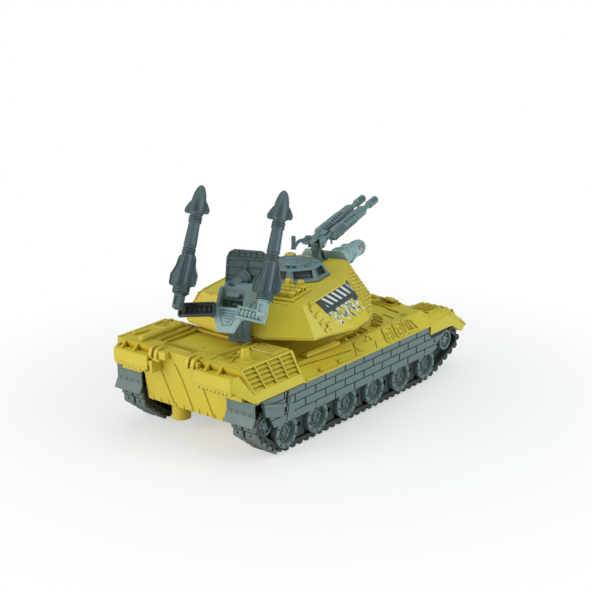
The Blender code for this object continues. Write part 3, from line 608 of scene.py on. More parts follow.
def nose():
    """The sloping front: a glacis with ribs, lamps and tow eyes between the two fenders."""
    side = [(100, 42.3), (100, 59.9), (116.6, 59.2), (118, 57.6), (145.6, 44), (145.6, 42.4)]
    shoulder = prism([(38, 62), (38, 56), (21, 62)], "y", 98, 122)
    parts = [carved(prism(side, "x", -38, 38), pair([shoulder]))]
    front = facing((0, 118, 57.6), (1, 0, 0), (0, 13.6, 27.6))
    for x in (-30, -15, 0, 15, 30):
        parts.append(moved(box((x - 1, x + 1), (-27, -3), (-0.5, 0.9), 0.3), front))
    parts.append(moved(box((-35, 35), (-16, -13.6), (-0.5, 1.2), 0.4), front))
    lamp = [(0, -1), (4.2, -1), (4.2, 2.4), (3.4, 3), (2.8, 1.6), (0, 1.9)]
    for x in (-22.5, 22.5):
        parts.append(moved(lathe(lamp, 28), front @ at(x, -8, 0)))
        parts.append(tube([(x, 140, 47), (x, 146.6, 47.4), (x, 148.2, 45.2), (x, 146, 43.2)], 1.3))
    for k in range(9):
        x = -32 + 8 * k
        parts.append(box((x - 2.6, x + 2.6), (144.9, 146.4), (42.6, 44), 0.3))
    piece("hull_glacis", "hull", "yellow", parts, edge=0)


def fenders():
    """The right front fender with its tool panel, dotted box and pointed nose, and its mirror image."""
    inner = 36.5
    block = [(inner, 99.7, 42.3), (inner, 99.7, 56), (72.7, 99.7, 42.3), (72.7, 99.7, 51.7), (64, 99.7, 56)]
    block += [(72.7, 130.7, 53.2), (63.8, 140, 55.7), (inner, 140, 55.7)]
    block += [(x, y, z) for x in (inner, 72.7) for y, z in ((147.4, 44.6), (134, 42.3), (146, 42.5))]
    tip = [(130, 46), (133.8, 42.2), (150.5, 32.6), (156.6, 37.6), (147, 45), (140, 50)]
    lip = [(130.6, 52.2), (147, 43.6), (156.2, 36.9), (157, 38), (147.4, 45.6), (131, 54.2)]
    panel = carved(box((41.6, 61.6), (113.4, 132.6), (55.2, 57.4), 0.35),
                   [box((43, 60.2), (114.8, 131.2), (56.8, 59))])
    dots = [(55.4 + 2.0 * i, 103.4 + 2.1 * j) for i in range(4) for j in range(3)]
    rack = carved(box((53.6, 64), (101.4, 109.6), (55.2, 57.6), 0.4),
                  [rod((x, y, 56.6), (x, y, 60), 0.55, sides=10) for x, y in dots])
    cap = lathe([(0, 55), (2.6, 55), (2.6, 57.2), (1.8, 58), (0, 58.1)], 20)
    parts = [wrapped(block), prism(tip, "x", 44, 72.3), prism(lip, "x", 70.6, 73), panel, rack]
    parts += [moved(cap, at(46, 103.6, 0)), box((65.6, 67), (104, 138), (53.6, 55.4), 0.3),
              box((39, 40.2), (104, 137), (55.6, 56.8), 0.3)]
    for k in range(4):
        y = 117.2 + 4.0 * k
        parts += stroke([(45.4, y), (50.8, y + 1.8), (58.4, y - 0.6)], 1.5, 56.4, 58)
    for k in range(3):
        parts += stroke([(44 + 7 * k, 138.6), (48 + 7 * k, 135.4)], 1, 55.4, 56.6)
    ribs = facing((58, 143.8, 50.2), (1, 0, 0), (0, 11.1, 7.4))
    for k in range(4):
        parts.append(moved(box((-11 + 6.4 * k, -9 + 6.4 * k), (-4.8, 4.4), (-0.6, 0.9), 0.3), ribs))
    lamp = facing((58.4, 151.4, 41.4), (1, 0, 0), (0, 7.4, 9.6))
    parts.append(moved(box((-10, 10), (-2.6, 2.4), (-0.6, 1.1), 0.5), lamp))
    piece("hull_fenders", "hull", "yellow", pair(parts), edge=0, smooth=math.radians(12))


def grille():
    """Five louvres in each of four columns, set in the slope beside the engine deck."""
    low_rear, low_front = Vector((70.2, -131, 58.4)), Vector((70, -77.4, 57.4))
    top_rear, top_front = Vector((63.4, -136.6, 75.4)), Vector((65.2, -82.4, 75.4))
    out = (low_front - low_rear).cross(top_rear - low_rear).normalized()

    def spot(s, t, depth):
        low = low_rear.lerp(low_front, s)
        return low.lerp(top_rear.lerp(top_front, s), t) + out * depth

    columns, rows = 4, 5
    pits, parts = [], []
    for i in range(columns):
        left, right = (i + 0.05) / columns, (i + 0.95) / columns
        corners = [spot(s, t, depth) for s in (left, right) for t in (0.015, 0.985) for depth in (-3, 4)]
        pits.append(wrapped(corners))
        for j in range(rows):
            low, high = (j + 0.04) / rows, (j + 1.02) / rows
            blade = [spot(s, low, 0.5) for s in (left, right)] + [spot(s, low, -0.5) for s in (left, right)]
            blade += [spot(s, high, z) for z in (-2.2, -3.1) for s in (left, right)]
            parts.append(wrapped(blade))
    for i in range(columns + 1):
        s = i / columns
        bar = [spot(s + d, t, h) for d in (-0.012, 0.012) for t in (-0.02, 1.02) for h in (-1, 0.8)]
        parts.append(wrapped(bar))
    for low, high in ((-0.06, -0), (1, 1.07)):
        rail = [spot(s, t, h) for s in (-0.015, 1.015) for t in (low, high) for h in (-1, 0.7)]
        parts.append(wrapped(rail))
    return pits, parts


def engine_block():
    """The raised engine deck with its louvres, recessed panel, slot and side bays."""
    corners = [(73, y, z) for y in (-130, -76) for z in (50.4, 52)]
    base = wrapped(both_sides(corners + [(62.5, -138, ENGINE_Z), (64.5, -79, ENGINE_Z)]))
    pits, louvres = grille()
    panel = [box((-25.4, 26), (-122.4, -86.4), (74.6, 78))]
    deep = [box((-32.2, -26.9), (-123.6, -87.8), (69.4, 78)), box((28.4, 33.2), (-121, -84), (73.4, 78))]
    dimple = [rod((4.4, -111.6, 73.6), (4.4, -111.6, 78), 1, sides=14)]
    bay = [box((36.4, 58.4), (-98, -80.6), (74.4, 78))]
    parts = [carved(base, pair(pits), panel, deep, dimple, pair(bay))] + pair(louvres)
    details = engine_panel() + engine_left() + engine_post() + pair(engine_slats())
    parts += [moved(shape, at(0, 0, ENGINE_Z)) for shape in details]
    piece("engine_deck", "hull", "yellow", parts, edge=0, smooth=math.radians(16))


def engine_panel():
    """Rails, cross bars, comb teeth and studs round the panel. Heights are measured from the engine deck."""
    parts = [box((x - 0.7, x + 0.7), (-124, -84.6), (-0.6, 1.2), 0.3) for x in (-33.4, -25.9, 27.2, 34.4)]
    for k in range(14):
        y = -122 + 2.5 * k
        parts.append(box((-32.4, -26.8), (y, y + 1), (-7.2, -3.4), 0.2))
    for y, top in ((-86, 1.3), (-82.6, 0.9)):
        parts.append(box((-26, 27), (y - 1.2, y + 1.2), (-0.6, top), 0.4))
    for k in range(11):
        x = -23.5 + 2.9 * k
        parts.append(tapered((x, x + 2.6), (-129.6, -123.4), (-0.4, 1.2),
                             (x + 1.5, x + 2.4), (-129.2, -123.8)))
    parts.append(box((-25, 9), (-131.4, -130), (-0.4, 0.9), 0.3))
    parts.append(box((10.4, 29.6), (-134.6, -123.4), (-0.6, 0.8), 0.35))
    studs = [(13.0 + 2.8 * i, -132.0 + 3.2 * j) for i in range(6) for j in range(3) if (i + j) % 2 == 0]
    parts += [ball((x, y, 0.7), 0.85, 0.8) for x, y in studs]
    parts += [ball((-14.0 + 9 * k, -120.6, -1.1), 0.6, 0.8) for k in range(4)]
    return parts


def engine_left():
    """The long tube between two rails, an arrow-shaped bracket and an open crate, on the left."""
    profile = [(0, 0), (1.9, 0.3), (2.9, 1.3), (3.3, 2.8)]
    for seam in (13, 26, 38):
        profile += [(3.3, seam - 1), (3.75, seam - 0.8), (3.75, seam + 0.8), (3.3, seam + 1)]
    profile += [(3.3, 46), (2.6, 48), (0, 48)]
    arrow = [
        (-60.6, -125.6), (-56, -126.4), (-53.2, -111), (-55.6, -109.4), (-57, -120.4), (-59.8, -121.2),
    ]
    crate = carved(box((-59.6, -49.6), (-104.4, -90.6), (-0.6, 2.2), 0.5),
                   [box((-58.2, -51), (-103, -92), (1.3, 4))])
    return [
        moved(lathe(profile, 28), forward(-42.2, -134.6, 1.4)),
        box((-38.2, -37), (-133, -88), (-0.6, 1), 0.3),
        box((-47.6, -46.4), (-131, -90), (-0.6, 1), 0.3),
        prism(arrow, "z", -0.6, 1.7),
        crate,
        box((-56.2, -53), (-101.6, -93.4), (0.8, 2), 0.4),
    ]


def engine_post():
    """The aerial post on its plate, with braces and a round cap beside it, on the right."""
    post = [(0, 0), (5.2, 0), (5.2, 0.9), (3.7, 1.2), (2.9, 9.2), (2.2, 9.6), (1.9, 8.2), (0, 8.2)]
    cap = [(0, 0), (1.9, 0), (1.9, 2.6), (1.2, 3.2), (0, 3.2)]
    parts = [box((45.4, 58.8), (-124.8, -113.4), (-0.6, 1), 0.5), moved(lathe(post, 32), at(51, -118, 0.6))]
    parts += stroke([(39, -110.6), (45.6, -128.6)], 1.5, -0.6, 1.4)
    parts += stroke([(37.2, -125.6), (42.6, -112)], 1.3, -0.6, 1)
    parts.append(moved(lathe(cap, 18), at(38.6, -110, -0.6)))
    parts.append(box((38.6, 61.4), (-135.4, -133), (-0.5, 1), 0.4))
    return parts


def engine_slats():
    """Slanting slats in the bay on the right, between two rails."""
    slats = []
    for k in range(4):
        y = -96.4 + 4.3 * k
        slats.append(tapered((36.8, 58), (y, y + 2.6), (-2, 1), (36.8, 58), (y + 1.6, y + 2.7)))
    slats.append(box((58.2, 61.4), (-99.4, -80.4), (-0.6, 1.4), 0.4))
    slats.append(box((35, 36.6), (-99, -81), (-0.6, 0.8), 0.3))
    return slats


def tail():
    """The rear wall: slanting ribs, gussets, two bumpers with a saw-edged skirt, and towing clevises."""
    wall = prism([(-137.6, 75.6), (-131.2, 53), (-127.2, 27), (-125, 27), (-125, 75.6)], "x", -42.4, 42.4)
    parts = [wall] + slanting_ribs() + pair(bumper()) + clevises()
    gusset = [(-127, 27.2), (-128.2, 27.2), (-128, 32), (-126, 32), (-125.6, 27.2)]
    for k in range(10):
        x = -36.5 + 8.1 * k
        corners = [(x + side * wide, y, z) for side in (-1, 1)
                   for (y, z), wide in zip(gusset, (0.4, 0.5, 0, 0, 0.4))]
        parts.append(wrapped(corners))
    for x in (-54.4, -41.2, 33, 45.6):
        parts.append(prism([(-137, 70.2), (-144, 70.2), (-137.6, 75.8)], "x", x - 0.8, x + 0.8))
    piece("hull_tail", "hull", "yellow", parts, edge=0)


def slanting_ribs():
    """Three thin ribs that run down the rear wall and bend with it at its knee."""
    knee = 53.0

    def wall_y(z):
        return -131.2 + (knee - z) * (0.154 if z < knee else 0.283)

    ribs = []
    section = ((-0.9, 0.6), (0.9, 0.6), (-0.3, -0.8), (0.7, -0.8))
    lines = (((-25.4, 63), (-14.7, 29)), ((-5.8, 66), (5.2, 29)), ((17.9, 56), (25.9, 28)))
    for (top_x, top_z), (low_x, low_z) in lines:
        for ends in ((top_z, knee), (knee, low_z)):
            corners = []
            for z in ends:
                x = top_x + (low_x - top_x) * (top_z - z) / (top_z - low_z)
                corners += [(x + dx, wall_y(z) + dy, z) for dx, dy in section]
            ribs.append(wrapped(corners))
    return ribs


def bumper():
    """The right-hand bumper over its saw-edged skirt, with the faceted corner that joins it to the side."""
    band = [(-145.6, 61.2), (-144.8, 60.2), (-134, 60.2), (-134, 70.5), (-144.6, 70.5), (-145.6, 69.4)]
    teeth = [(24.6, 60.6)]
    for k in range(9):
        x = 24.6 + 3.9 * k
        teeth += [(x, 58.8), (x + 3.3, 56.4)]
    teeth.append((60, 60.6))
    facet = [
        (60, -145.2, 61), (60, -145.2, 69.8), (62.4, -139.5, 71.4), (73, -131, 53.6), (73, -129.4, 50.5),
        (70.8, -132.4, 50.6), (60, -136, 56), (61, -134, 72), (72.6, -127, 54),
    ]
    strip = [(24.6, 59.3), (60.4, 59.3), (60.4, 60.4), (24.6, 60.4)]
    return [
        prism(band, "x", 24, 60.2),
        prism(teeth[::-1], "y", -144.6, -136),
        prism(strip, "y", -145.1, -136),
        wrapped(facet),
        box((42, 62), (-135.4, -126), (50.6, 61)),
    ]


def clevises():
    """Two towing clevises with their pins, the blocks beside them and a bracket under the left one."""
    cheek = [(-134.6, 69), (-143.4, 69), (-143.8, 72), (-142, 76.6), (-139.8, 77.6), (-134.6, 77.6)]
    parts = []
    for x in (-20, 18):
        parts += [prism(cheek, "x", x + low, x + high) for low, high in ((-4.2, -1.3), (1.3, 4.2))]
        parts.append(box((x - 5.4, x + 5.4), (-142.4, -134.6), (66.8, 69.6), 0.5))
        parts.append(rod((x - 4.8, -140.2, 73.6), (x + 4.8, -140.2, 73.6), 0.9, sides=16))
    parts.append(box((-16.4, -8), (-142, -135), (69.4, 75.6), 0.6))
    parts.append(box((21.6, 25), (-141.6, -135), (69.4, 74.6), 0.5))
    parts.append(carved(box((-27.4, -19.8), (-144.6, -133), (57.6, 67.2), 0.4),
                        [box((-25.4, -22.6), (-146, -139), (56.8, 63))]))
    return parts


def tub():
    """The tub: the moulded base under the deck, with wheel-arch seams, ribs and a screw boss below."""
    side = [
        (-123.5, 50), (-123.5, 26.5), (-98, 17.5), (-85, 11.5), (-73, 6), (100, 6), (118, 20), (134, 41.9),
        (111, 41.9), (111, 50),
    ]
    windows = [box((-24.3, 24.3), (-50.3, 10.3), (4, 9)), box((25.8, 30.2), (23, 37), (4, 9))]
    grooves = [box((-38, 38), (y, y + 1.2), (4, 6.7)) for y in (-64, 48, 62)]
    vents = [box((-14, 14), (78 + 3 * k, 79.4 + 3 * k), (4, 8)) for k in range(5)]
    holes = [rod((x, y, 4), (x, y, 8.4), 2, sides=20) for x in (-34, 34) for y in (-56, 56, 94)]
    parts = [carved(prism(side, "x", -41, 41), windows, grooves, vents, holes)]
    boss = rod((-24, -110, 10), (-24, -110, 23.3), 7.5, sides=40)
    parts.append(carved(boss, [rod((-24, -110, 8), (-24, -110, 20), 3.2, sides=24)]))
    parts += [box((x - 1, x + 1), (-70, 96), (5.2, 6.4), 0.3) for x in (-36, 36)]
    piece("hull_tub", "hull", "yellow", parts, instead_of=("lower_hull",), edge=0)
    grips = [box((-14, 14), (-46 + 3 * k, -44.8 + 3 * k), (4, 6.5)) for k in range(4)]
    screw_hole = rod((0, 6, 3), (0, 6, 12), 3.1, sides=28)
    door = carved(box((-24, 24), (-50, 10), (5.9, 7.8), 0.3), grips, [screw_hole])
    piece("battery_cover", "hull", "yellow", [door], instead_of=("battery_door",), edge=0.15)


def hull():
    deck()
    nose()
    fenders()
    engine_block()
    tail()
    tub()


# Running gear -----------------------------------------------------------------------------------

TRACK_LINE = [
    (-98, 0.6), (95, 0.6), (105, 2), (112, 3.6), (120, 6.5), (134.5, 13), (142, 16), (148.4, 20), (151, 26.5),
    (148.5, 32), (141.5, 37), (132.5, 40.7), (124, 41.6), (-118, 41.6), (-126.5, 39.6), (-129.8, 34),
    (-128.6, 26.5), (-126.6, 20.7), (-112.5, 9.4), (-105, 3.6),
]


def road_wheel():
    """A road wheel about z, its face at z = 0: a ring with small holes, and a sunken dish with bolts."""
    profile = [
        (0, -6), (12.9, -6), (12.9, -0.5), (12.4, 0), (9.6, 0), (9.2, -1), (8.8, -4), (7.8, -4.4),
        (5.2, -3.2), (4.6, -3), (4.2, -1.5), (2.6, -1.3), (2.2, -2.6), (1.2, -2.6), (0, -2.2),
    ]
    holes = [rod((x, y, -1.8), (x, y, 1), 0.9, sides=12) for x, y in circle(10, 11.1, 0.3)]
    holes += [rod((x, y, -5.6), (x, y, 1), 1.15, sides=12) for x, y in circle(6, 6.6, 0.5)]
    parts = [carved(lathe(profile, 56), holes)]
    parts += [rod((x, y, -5), (x, y, -2.5), 1, sides=6) for x, y in circle(6, 6.6)]
    parts += [rod((x, y, -2), (x, y, -0.3), 0.5, sides=8) for x, y in circle(6, 3.4, 0.4775)]
    return together(parts)


def end_wheel(spokes):
    """The light rim of an idler or a sprocket, its face at z = 0."""
    profile = [
        (0, -5), (9, -5), (9, -0.4), (8.6, 0), (7.4, 0), (7, -0.5), (6.8, -2.2), (3.6, -2), (3.2, -0.8),
        (1.6, -0.6), (0, -0.6),
    ]
    parts = [lathe(profile, 44)]
    for k in range(spokes):
        parts.append(moved(box((3, 7.2), (-0.7, 0.7), (-3, -0.9), 0.2), spun(360 * k / spokes)))
    return together(parts)


def outward(x, y, z):
    """A frame at a point of the right-hand side, with its z axis pointing out of the side."""
    return facing((x, y, z), (0, 1, 0), (1, 0, 0))


def skirt():
    """The brick-pattern skirt: four rows in running bond, with a wedge and a lidded box at the rear."""
    low, row_height, brick, joint = 25, 6.5, 25.3, 0.7
    outline = [(-124, 49.9), (-110, low), (104, low), (112, 28), (97.7, 43), (97.7, 49.9)]
    rows = [box((70.9, 74), (-130, 116), (z - 0.4, z + 0.4)) for z in (44.5, 38, 31.5)]
    upright = []
    for row in range(4):
        foot = low + row_height * (3 - row)
        for k in range(9):
            y = -98.1 + brick * (k + (row % 2) / 2)
            if y <= 104:
                top = foot + row_height + (0.5 if row == 0 else 0)
                upright.append(box((70.9, 74), (y - joint, y + joint), (foot, top)))
    gap = prism([(-98.6, 33), (-95.6, 33), (-92.4, 51), (-95, 51)], "x", 69, 75)
    case = [(-121.4, 37.2), (-100.2, 31), (-98.6, 40.6), (-122.4, 46.6)]
    lid = [(-123, 44.6), (-98.2, 38.4), (-97.8, 41), (-123.4, 47.6)]
    wedge = [(-96, 26), (-84, 26), (-91.6, 44)]
    return [
        carved(prism(outline, "x", 69.9, 71.9), rows, upright[::2], upright[1::2], [gap]),
        prism(case, "x", 70.2, 73),
        prism(lid, "x", 70.2, 73.6),
        prism(wedge, "x", 70.2, 72.5),
    ]


def running_gear():
    """On each side one grey moulding with wheels and skirt, and a dark back panel behind it, coloured as
    painted shade.
    """
    grey = skirt()
    master = road_wheel()
    for y in WHEEL_YS:
        grey.append(moved(master.copy(), outward(71.6, y, 16.6)))
    master.free()
    grey.append(moved(end_wheel(6), outward(69.6, 128.5, 29.6)))
    grey.append(moved(end_wheel(8), outward(67.4, -115, 26.5) @ Matrix.Scale(0.86, 4)))
    cheek = [(96, 26), (110, 27), (120, 33), (125.4, 39.4), (118, 40.6), (96, 40.6)]
    grey.append(carved(prism(cheek, "x", 63, 69.4), [box((68.6, 71), (101, 101.8), (27, 40))]))
    cap = [(0, -2), (2.6, -2), (2.6, 0.6), (1.9, 1.1), (0, 1)]
    grey.append(moved(lathe(cap, 24), outward(69.4, 113, 34)))
    hull_pair("side_moulding", "grey", grey, "running_gear", edge=0)

    axle_holes = [rod((50, y, 14.8), (80, y, 14.8), 2.1, sides=20) for y in (-74, 74)]
    dark = [
        carved(prism(inset(TRACK_LINE, 5.2), "x", 60.8, 63.6), axle_holes),
        prism([(-112, 25.5), (100, 25.5), (100, 38), (-112, 38)], "x", 63, 69.6),
    ]
    for a, b in zip(WHEEL_YS, WHEEL_YS[1:]):
        y = (a + b) / 2
        web = prism([(y - 7, 6), (y + 7, 6), (y + 9, 25.6), (y - 9, 25.6)], "x", 62, 67.4)
        dark.append(carved(web, [rod((60, y, 15.6), (80, y, 15.6), 2.3, sides=20)]))
    hull_pair("side_backing", "shadow", dark)


def along(line, distance):
    """The point and direction at a distance along a closed line."""
    closed = [Vector(p) for p in line] + [Vector(line[0])]
    for start, end in zip(closed, closed[1:]):
        length = (end - start).length
        if distance <= length:
            return start.lerp(end, distance / length), (end - start).normalized()
        distance -= length
    return closed[0], (closed[1] - closed[0]).normalized()


def track_band():
    """A track: a band with a raised lug at each link, a dimpled pad between, and a toothed outer edge."""
    outer = inset(TRACK_LINE, 2)
    band = carved(prism(outer, "x", 46.6, 69.4), [prism(inset(TRACK_LINE, 4.9), "x", 40, 75)])
    parts = [band]
    length = sum((Vector(a) - Vector(b)).length for a, b in zip(outer, outer[1:] + outer[:1]))
    links = round(length / 8.3)
    for k in range(links):
        spot, way = along(outer, length * (k + 0.5) / links)
        place = facing((0, spot.x, spot.y), (0, way.x, way.y), (0, way.y, -way.x))
        lug = [(-2.9, -0.8), (2.9, -0.8), (2.4, 1.4), (1.4, 2.1), (-1.4, 2.1), (-2.4, 1.4)]
        for low, high in ((46, 56.4), (59.2, 69.9)):
            parts.append(placed_pad(lug, low, high, place))
        parts.append(placed_pad([(-1.4, -0.8), (1.4, -0.8), (1, 1.2), (-1, 1.2)], 56.2, 59.4, place))
    return parts


def placed_pad(outline, low, high, place):
    """A cross-section given along the track and out of it, pushed across the track from low to high."""
    bm = bmesh.new()
    ends = []
    for x in (low, high):
        ends.append([bm.verts.new(place @ Vector((a, 0, b)) + Vector((x, 0, 0))) for a, b in outline])
    bm.faces.new(ends[0])
    bm.faces.new(ends[1])
    count = len(outline)
    for i in range(count):
        j = (i + 1) % count
        bm.faces.new((ends[0][i], ends[0][j], ends[1][j], ends[1][i]))
    bmesh.ops.recalc_face_normals(bm, faces=bm.faces)
    return bm


def tracks():
    hull_pair("tread", "track", track_band(), "track", edge=0.22)


def mud_flaps():
    """The flaps behind the tracks, kicked out below, each over a short run of light track pads."""
    upper = [(-125, 50.2), (-132.5, 50.2), (-132.5, 39.2), (-131, 39), (-131, 48.4), (-125, 48.4)]
    lower = [(-132.5, 39.3), (-135.9, 32), (-134.4, 31.4), (-131, 39)]
    flap = [carved(prism(upper, "x", 44.5, 71.2), [box((46.4, 69.4), (-134, -132.2), (41.4, 48.4))])]
    flap.append(prism(lower, "x", 43.9, 71.8))
    flap += [box((x, x + 0.8), (-133, -131.6), (39.6, 41.6), 0.2) for x in (48.2, 54.4, 60.6, 66.8)]
    hull_pair("flap", "grey", flap, "mud_flap")

    pads = []
    halves = ((46.4, 56.6), (58.4, 69.6))
    for low, high in halves:
        middle = (low + high) / 2
        for z, y in ((28.6, -128.9), (22.2, -127)):
            pad = box((low, high), (y - 1.4, y + 1.6), (z - 2.5, z + 2.5), 0.5)
            pads.append(carved(pad, [rod((middle, y - 3, z), (middle, y - 0.6, z), 1.1, sides=14)]))
        for k in range(4):
            spot = Vector((0, -125.2, 18.6)).lerp(Vector((0, -106.6, 3.9)), k / 3)
            place = facing(spot, (0, 0.785, -0.62), (0, -0.62, -0.785))
            pads.append(moved(box((-2.7, 2.7), (-high, -low), (-1.6, 1.6), 0.5), place))
    hull_pair("tread_pads", "tread_grey", pads)


# Turret -----------------------------------------------------------------------------------------

RING = [(22, -84.5), (56, -71), (60.5, -58.5), (68.4, -44), (74, -30), (74, -4.7), (49.5, 55), (24, 68)]
ROOF = [(18, -75), (44, -67), (45, 15), (22, 66)]
SHELL_LOW, ROOF_Z = 82.6, 106.5


def turret_wedge():
    return wrapped(both_sides([(x, y, SHELL_LOW) for x, y in RING] + [(x, y, ROOF_Z) for x, y in ROOF]))


def turret_planes():
    """The outward normal and offset of each flat face on the turret's right-hand side."""
    bm = turret_wedge()
    planes = []
    for face in bm.faces:
        if face.normal.x > 0.1:
            planes.append((face.normal.copy(), face.normal.dot(face.verts[0].co)))
    bm.free()
    return planes


def skin(planes, y, z):
    """The point of the turret's right-hand side at (y, z), and its outward normal."""
    x, normal = min(((d - n.y * y - n.z * z) / n.x, tuple(n)) for n, d in planes)
    return Vector((x, y, z)), Vector(normal)


def on_skin(planes, y, z, along=(0, 1, 0)):
    spot, normal = skin(planes, y, z)
    return facing(spot, along, normal)


def skin_bar(planes, points, width, low, high):
    """Bars that follow the turret's side through (y, z) points."""
    shapes = []
    for (y1, z1), (y2, z2) in zip(points, points[1:]):
        a, normal_a = skin(planes, y1, z1)
        b, normal_b = skin(planes, y2, z2)
        out = (normal_a + normal_b).normalized()
        place = facing((a + b) / 2, b - a, out)
        half = (b - a).length / 2 + width / 2
        shapes.append(moved(box((-half, half), (-width / 2, width / 2), (low, high)), place))
    return shapes


def turret_body():
    planes = turret_planes()
    mouth = [box((-12.5, 12.5), (58, 75), (86.5, 104.2))]
    niche = [rod((2, -90, 75), (2, -90, 103), 8.9, sides=40)]
    dots = [(-18.6 - 5 * i + 2 * j, -62 + 5.2 * j) for i in range(2) for j in range(3)]
    dots = [rod((x, y, 105.2), (x, y, 108), 1.05, sides=16) for x, y in dots]
    steps = [box((-40, -14), (-74 + 3.4 * k, -73.2 + 3.4 * k), (105.7, 108)) for k in range(3)]
    across, down = rear_panel()
    body = carved(turret_wedge(), mouth, niche, dots, steps, pair([across]), pair([down]))
    trims = []
    for k in range(6):
        path = [(15 + 9.8 * k, 105.2), (-2 + 10.4 * k, 82.4)]
        trims += skin_bar(planes, path, 0.7, -0.4, 0.45)
    trims.append(box((46, 47.4), (-60, 8), (104.4, 106.4), 0.3))
    parts = [body] + pair(turret_pegs(planes)) + pair(turret_notches(planes)) + pair(trims)
    parts.append(box((-34, 34), (-71.4, -69.6), (106.2, 107.2), 0.3))
    parts.append(box((30.4, 31.8), (-24, 40), (106.2, 107.2), 0.3))
    for k in range(4):
        parts += stroke([(-38 + 2 * k, 20 - 7 * k), (-30 + 2 * k, 16 - 7 * k)], 1.3, 106.2, 107.3)
    parts += [box((x - 3, x + 3), (65.4, 67.6), (z - 2.2, z + 2.2), 0.4)
              for x in (-21, 21) for z in (86, 103)]
    piece("turret_body", "turret", "yellow", parts, TURRET, instead_of=("turret_shell",), edge=0,
          smooth=math.radians(3))
    sticker(planes)


def rear_panel():
    """Cutters for a bent groove in the turret's rear right face: its top run and its slanting run."""
    rear = facing((39, -77.75, 80), (34, 13.5, 0), (0.35, -0.89, 0.29))
    path = [rear.inverted() @ Vector((x, 0, z)) for x, z in ((26, 98.6), (41, 98.9), (49.4, 81))]
    runs = []
    for a, b in zip(path, path[1:]):
        runs += [moved(bar, rear) for bar in stroke([(a.x, a.y), (b.x, b.y)], 1, -0.6, 1.2)]
    return runs


def turret_pegs(planes):
    """Five columns of eleven small wedge-shaped pegs on the sloping front face."""
    columns, count = 5, 11
    pegs = []
    for column in range(columns):
        t = (column + 0.5) / columns
        top = Vector((45 - 23 * t, 15 + 51 * t, 105))
        low = Vector((73.0 - 23.5 * t, -2.4 + 57.0 * t, 82))
        for k in range(count):
            spot = low.lerp(top, (k + 0.5) / count)
            peg = tapered((-1.4, 1.4), (-1.5, 1.5), (-0.3, 1.3), (-1.3, -0.2), (-1.4, 1.4))
            pegs.append(moved(peg, on_skin(planes, spot.y, spot.z, low - top)))
    return pegs


def turret_notches(planes):
    """Four hooked steps down the turret's rear edge, and a pointed one below them."""
    hook = [
        (-2.8, 1.4, -0.4), (3.4, 1.4, -0.4), (-2.8, -2.6, -0.4), (-1.2, -2.6, -0.4), (3.4, 0.2, -0.4),
        (-2.6, 1.2, 1.7), (3.2, 1.2, 1.5), (-2.6, 0.2, 1.7), (3, 0.4, 1.5),
    ]
    point = [(-2.4, 3.2, -0.4), (3, 3.4, -0.4), (0.4, -4.4, -0.4)]
    point += [(-2.2, 3, 1.9), (2.6, 3.2, 1.9), (1, -3.6, 0.4)]
    notches = []
    for k in range(4):
        place = on_skin(planes, -60.6 + 1.3 * k, 102.6 - 5.4 * k, (0, 1, 0.3))
        notches.append(moved(wrapped(hook), place))
    notches.append(moved(wrapped(point), on_skin(planes, -54, 87.4)))
    return notches


def turret_floor():
    """The plate that closes the turret below, its collar in the hull, and the shelf under the launcher."""
    rim = [(x * 0.985, y * 0.985) for x, y in RING]
    plate = prism(rim + [(-x, y) for x, y in reversed(rim)], "z", 80.4, 82.4)
    holes = [rod((x, y, 78), (x, y, 81.6), 1.9, sides=20) for x in (-44, 44) for y in (-40, 20)]
    floor = [carved(plate, holes), rod((0, 0, 56.5), (0, 0, 81), 27.5, sides=64)]
    floor += [box((-50, 50), (y - 0.6, y + 0.6), (79.6, 80.8), 0.2) for y in (-50, -36, 36, 48)]
    piece("turret_floor", "turret", "yellow", floor, TURRET, instead_of=("turret_base",), edge=0.2)
    shelf = [box((-6, 10), (-95, -76), (79.4, 80.9), 0.3), rod((2, -90, 78.9), (2, -90, 79.6), 5, sides=40)]
    piece("launcher_shelf", "turret", "dark_grey", shelf, TURRET)


def sticker(planes):
    """A thin printed sheet on the turret's right-hand side, with UVs across it."""
    top_rear, top_front, low_front, low_rear = (
        Vector(corner) for corner in ((-50, 105.6), (12.6, 105.6), (1.4, 87.4), (-49, 87.4)))
    across, down, lift = 40, 20, 0.16
    bm = bmesh.new()
    layer = bm.loops.layers.uv.new("UVMap")
    grid, spots = [], {}
    for j in range(down + 1):
        row = []
        for i in range(across + 1):
            s, t = i / across, j / down
            y, z = top_rear.lerp(top_front, s).lerp(low_rear.lerp(low_front, s), t)
            spot, normal = skin(planes, y, z)
            vert = bm.verts.new(spot + normal * lift)
            spots[vert] = (s, 1 - t)
            row.append(vert)
        grid.append(row)
    for above, below in zip(grid, grid[1:]):
        for i in range(across):
            face = bm.faces.new((above[i], below[i], below[i + 1], above[i + 1]))
            for loop in face.loops:
                loop[layer].uv = spots[loop.vert]
    piece("turret_sticker", "turret", "sticker", [bm], TURRET, edge=0)


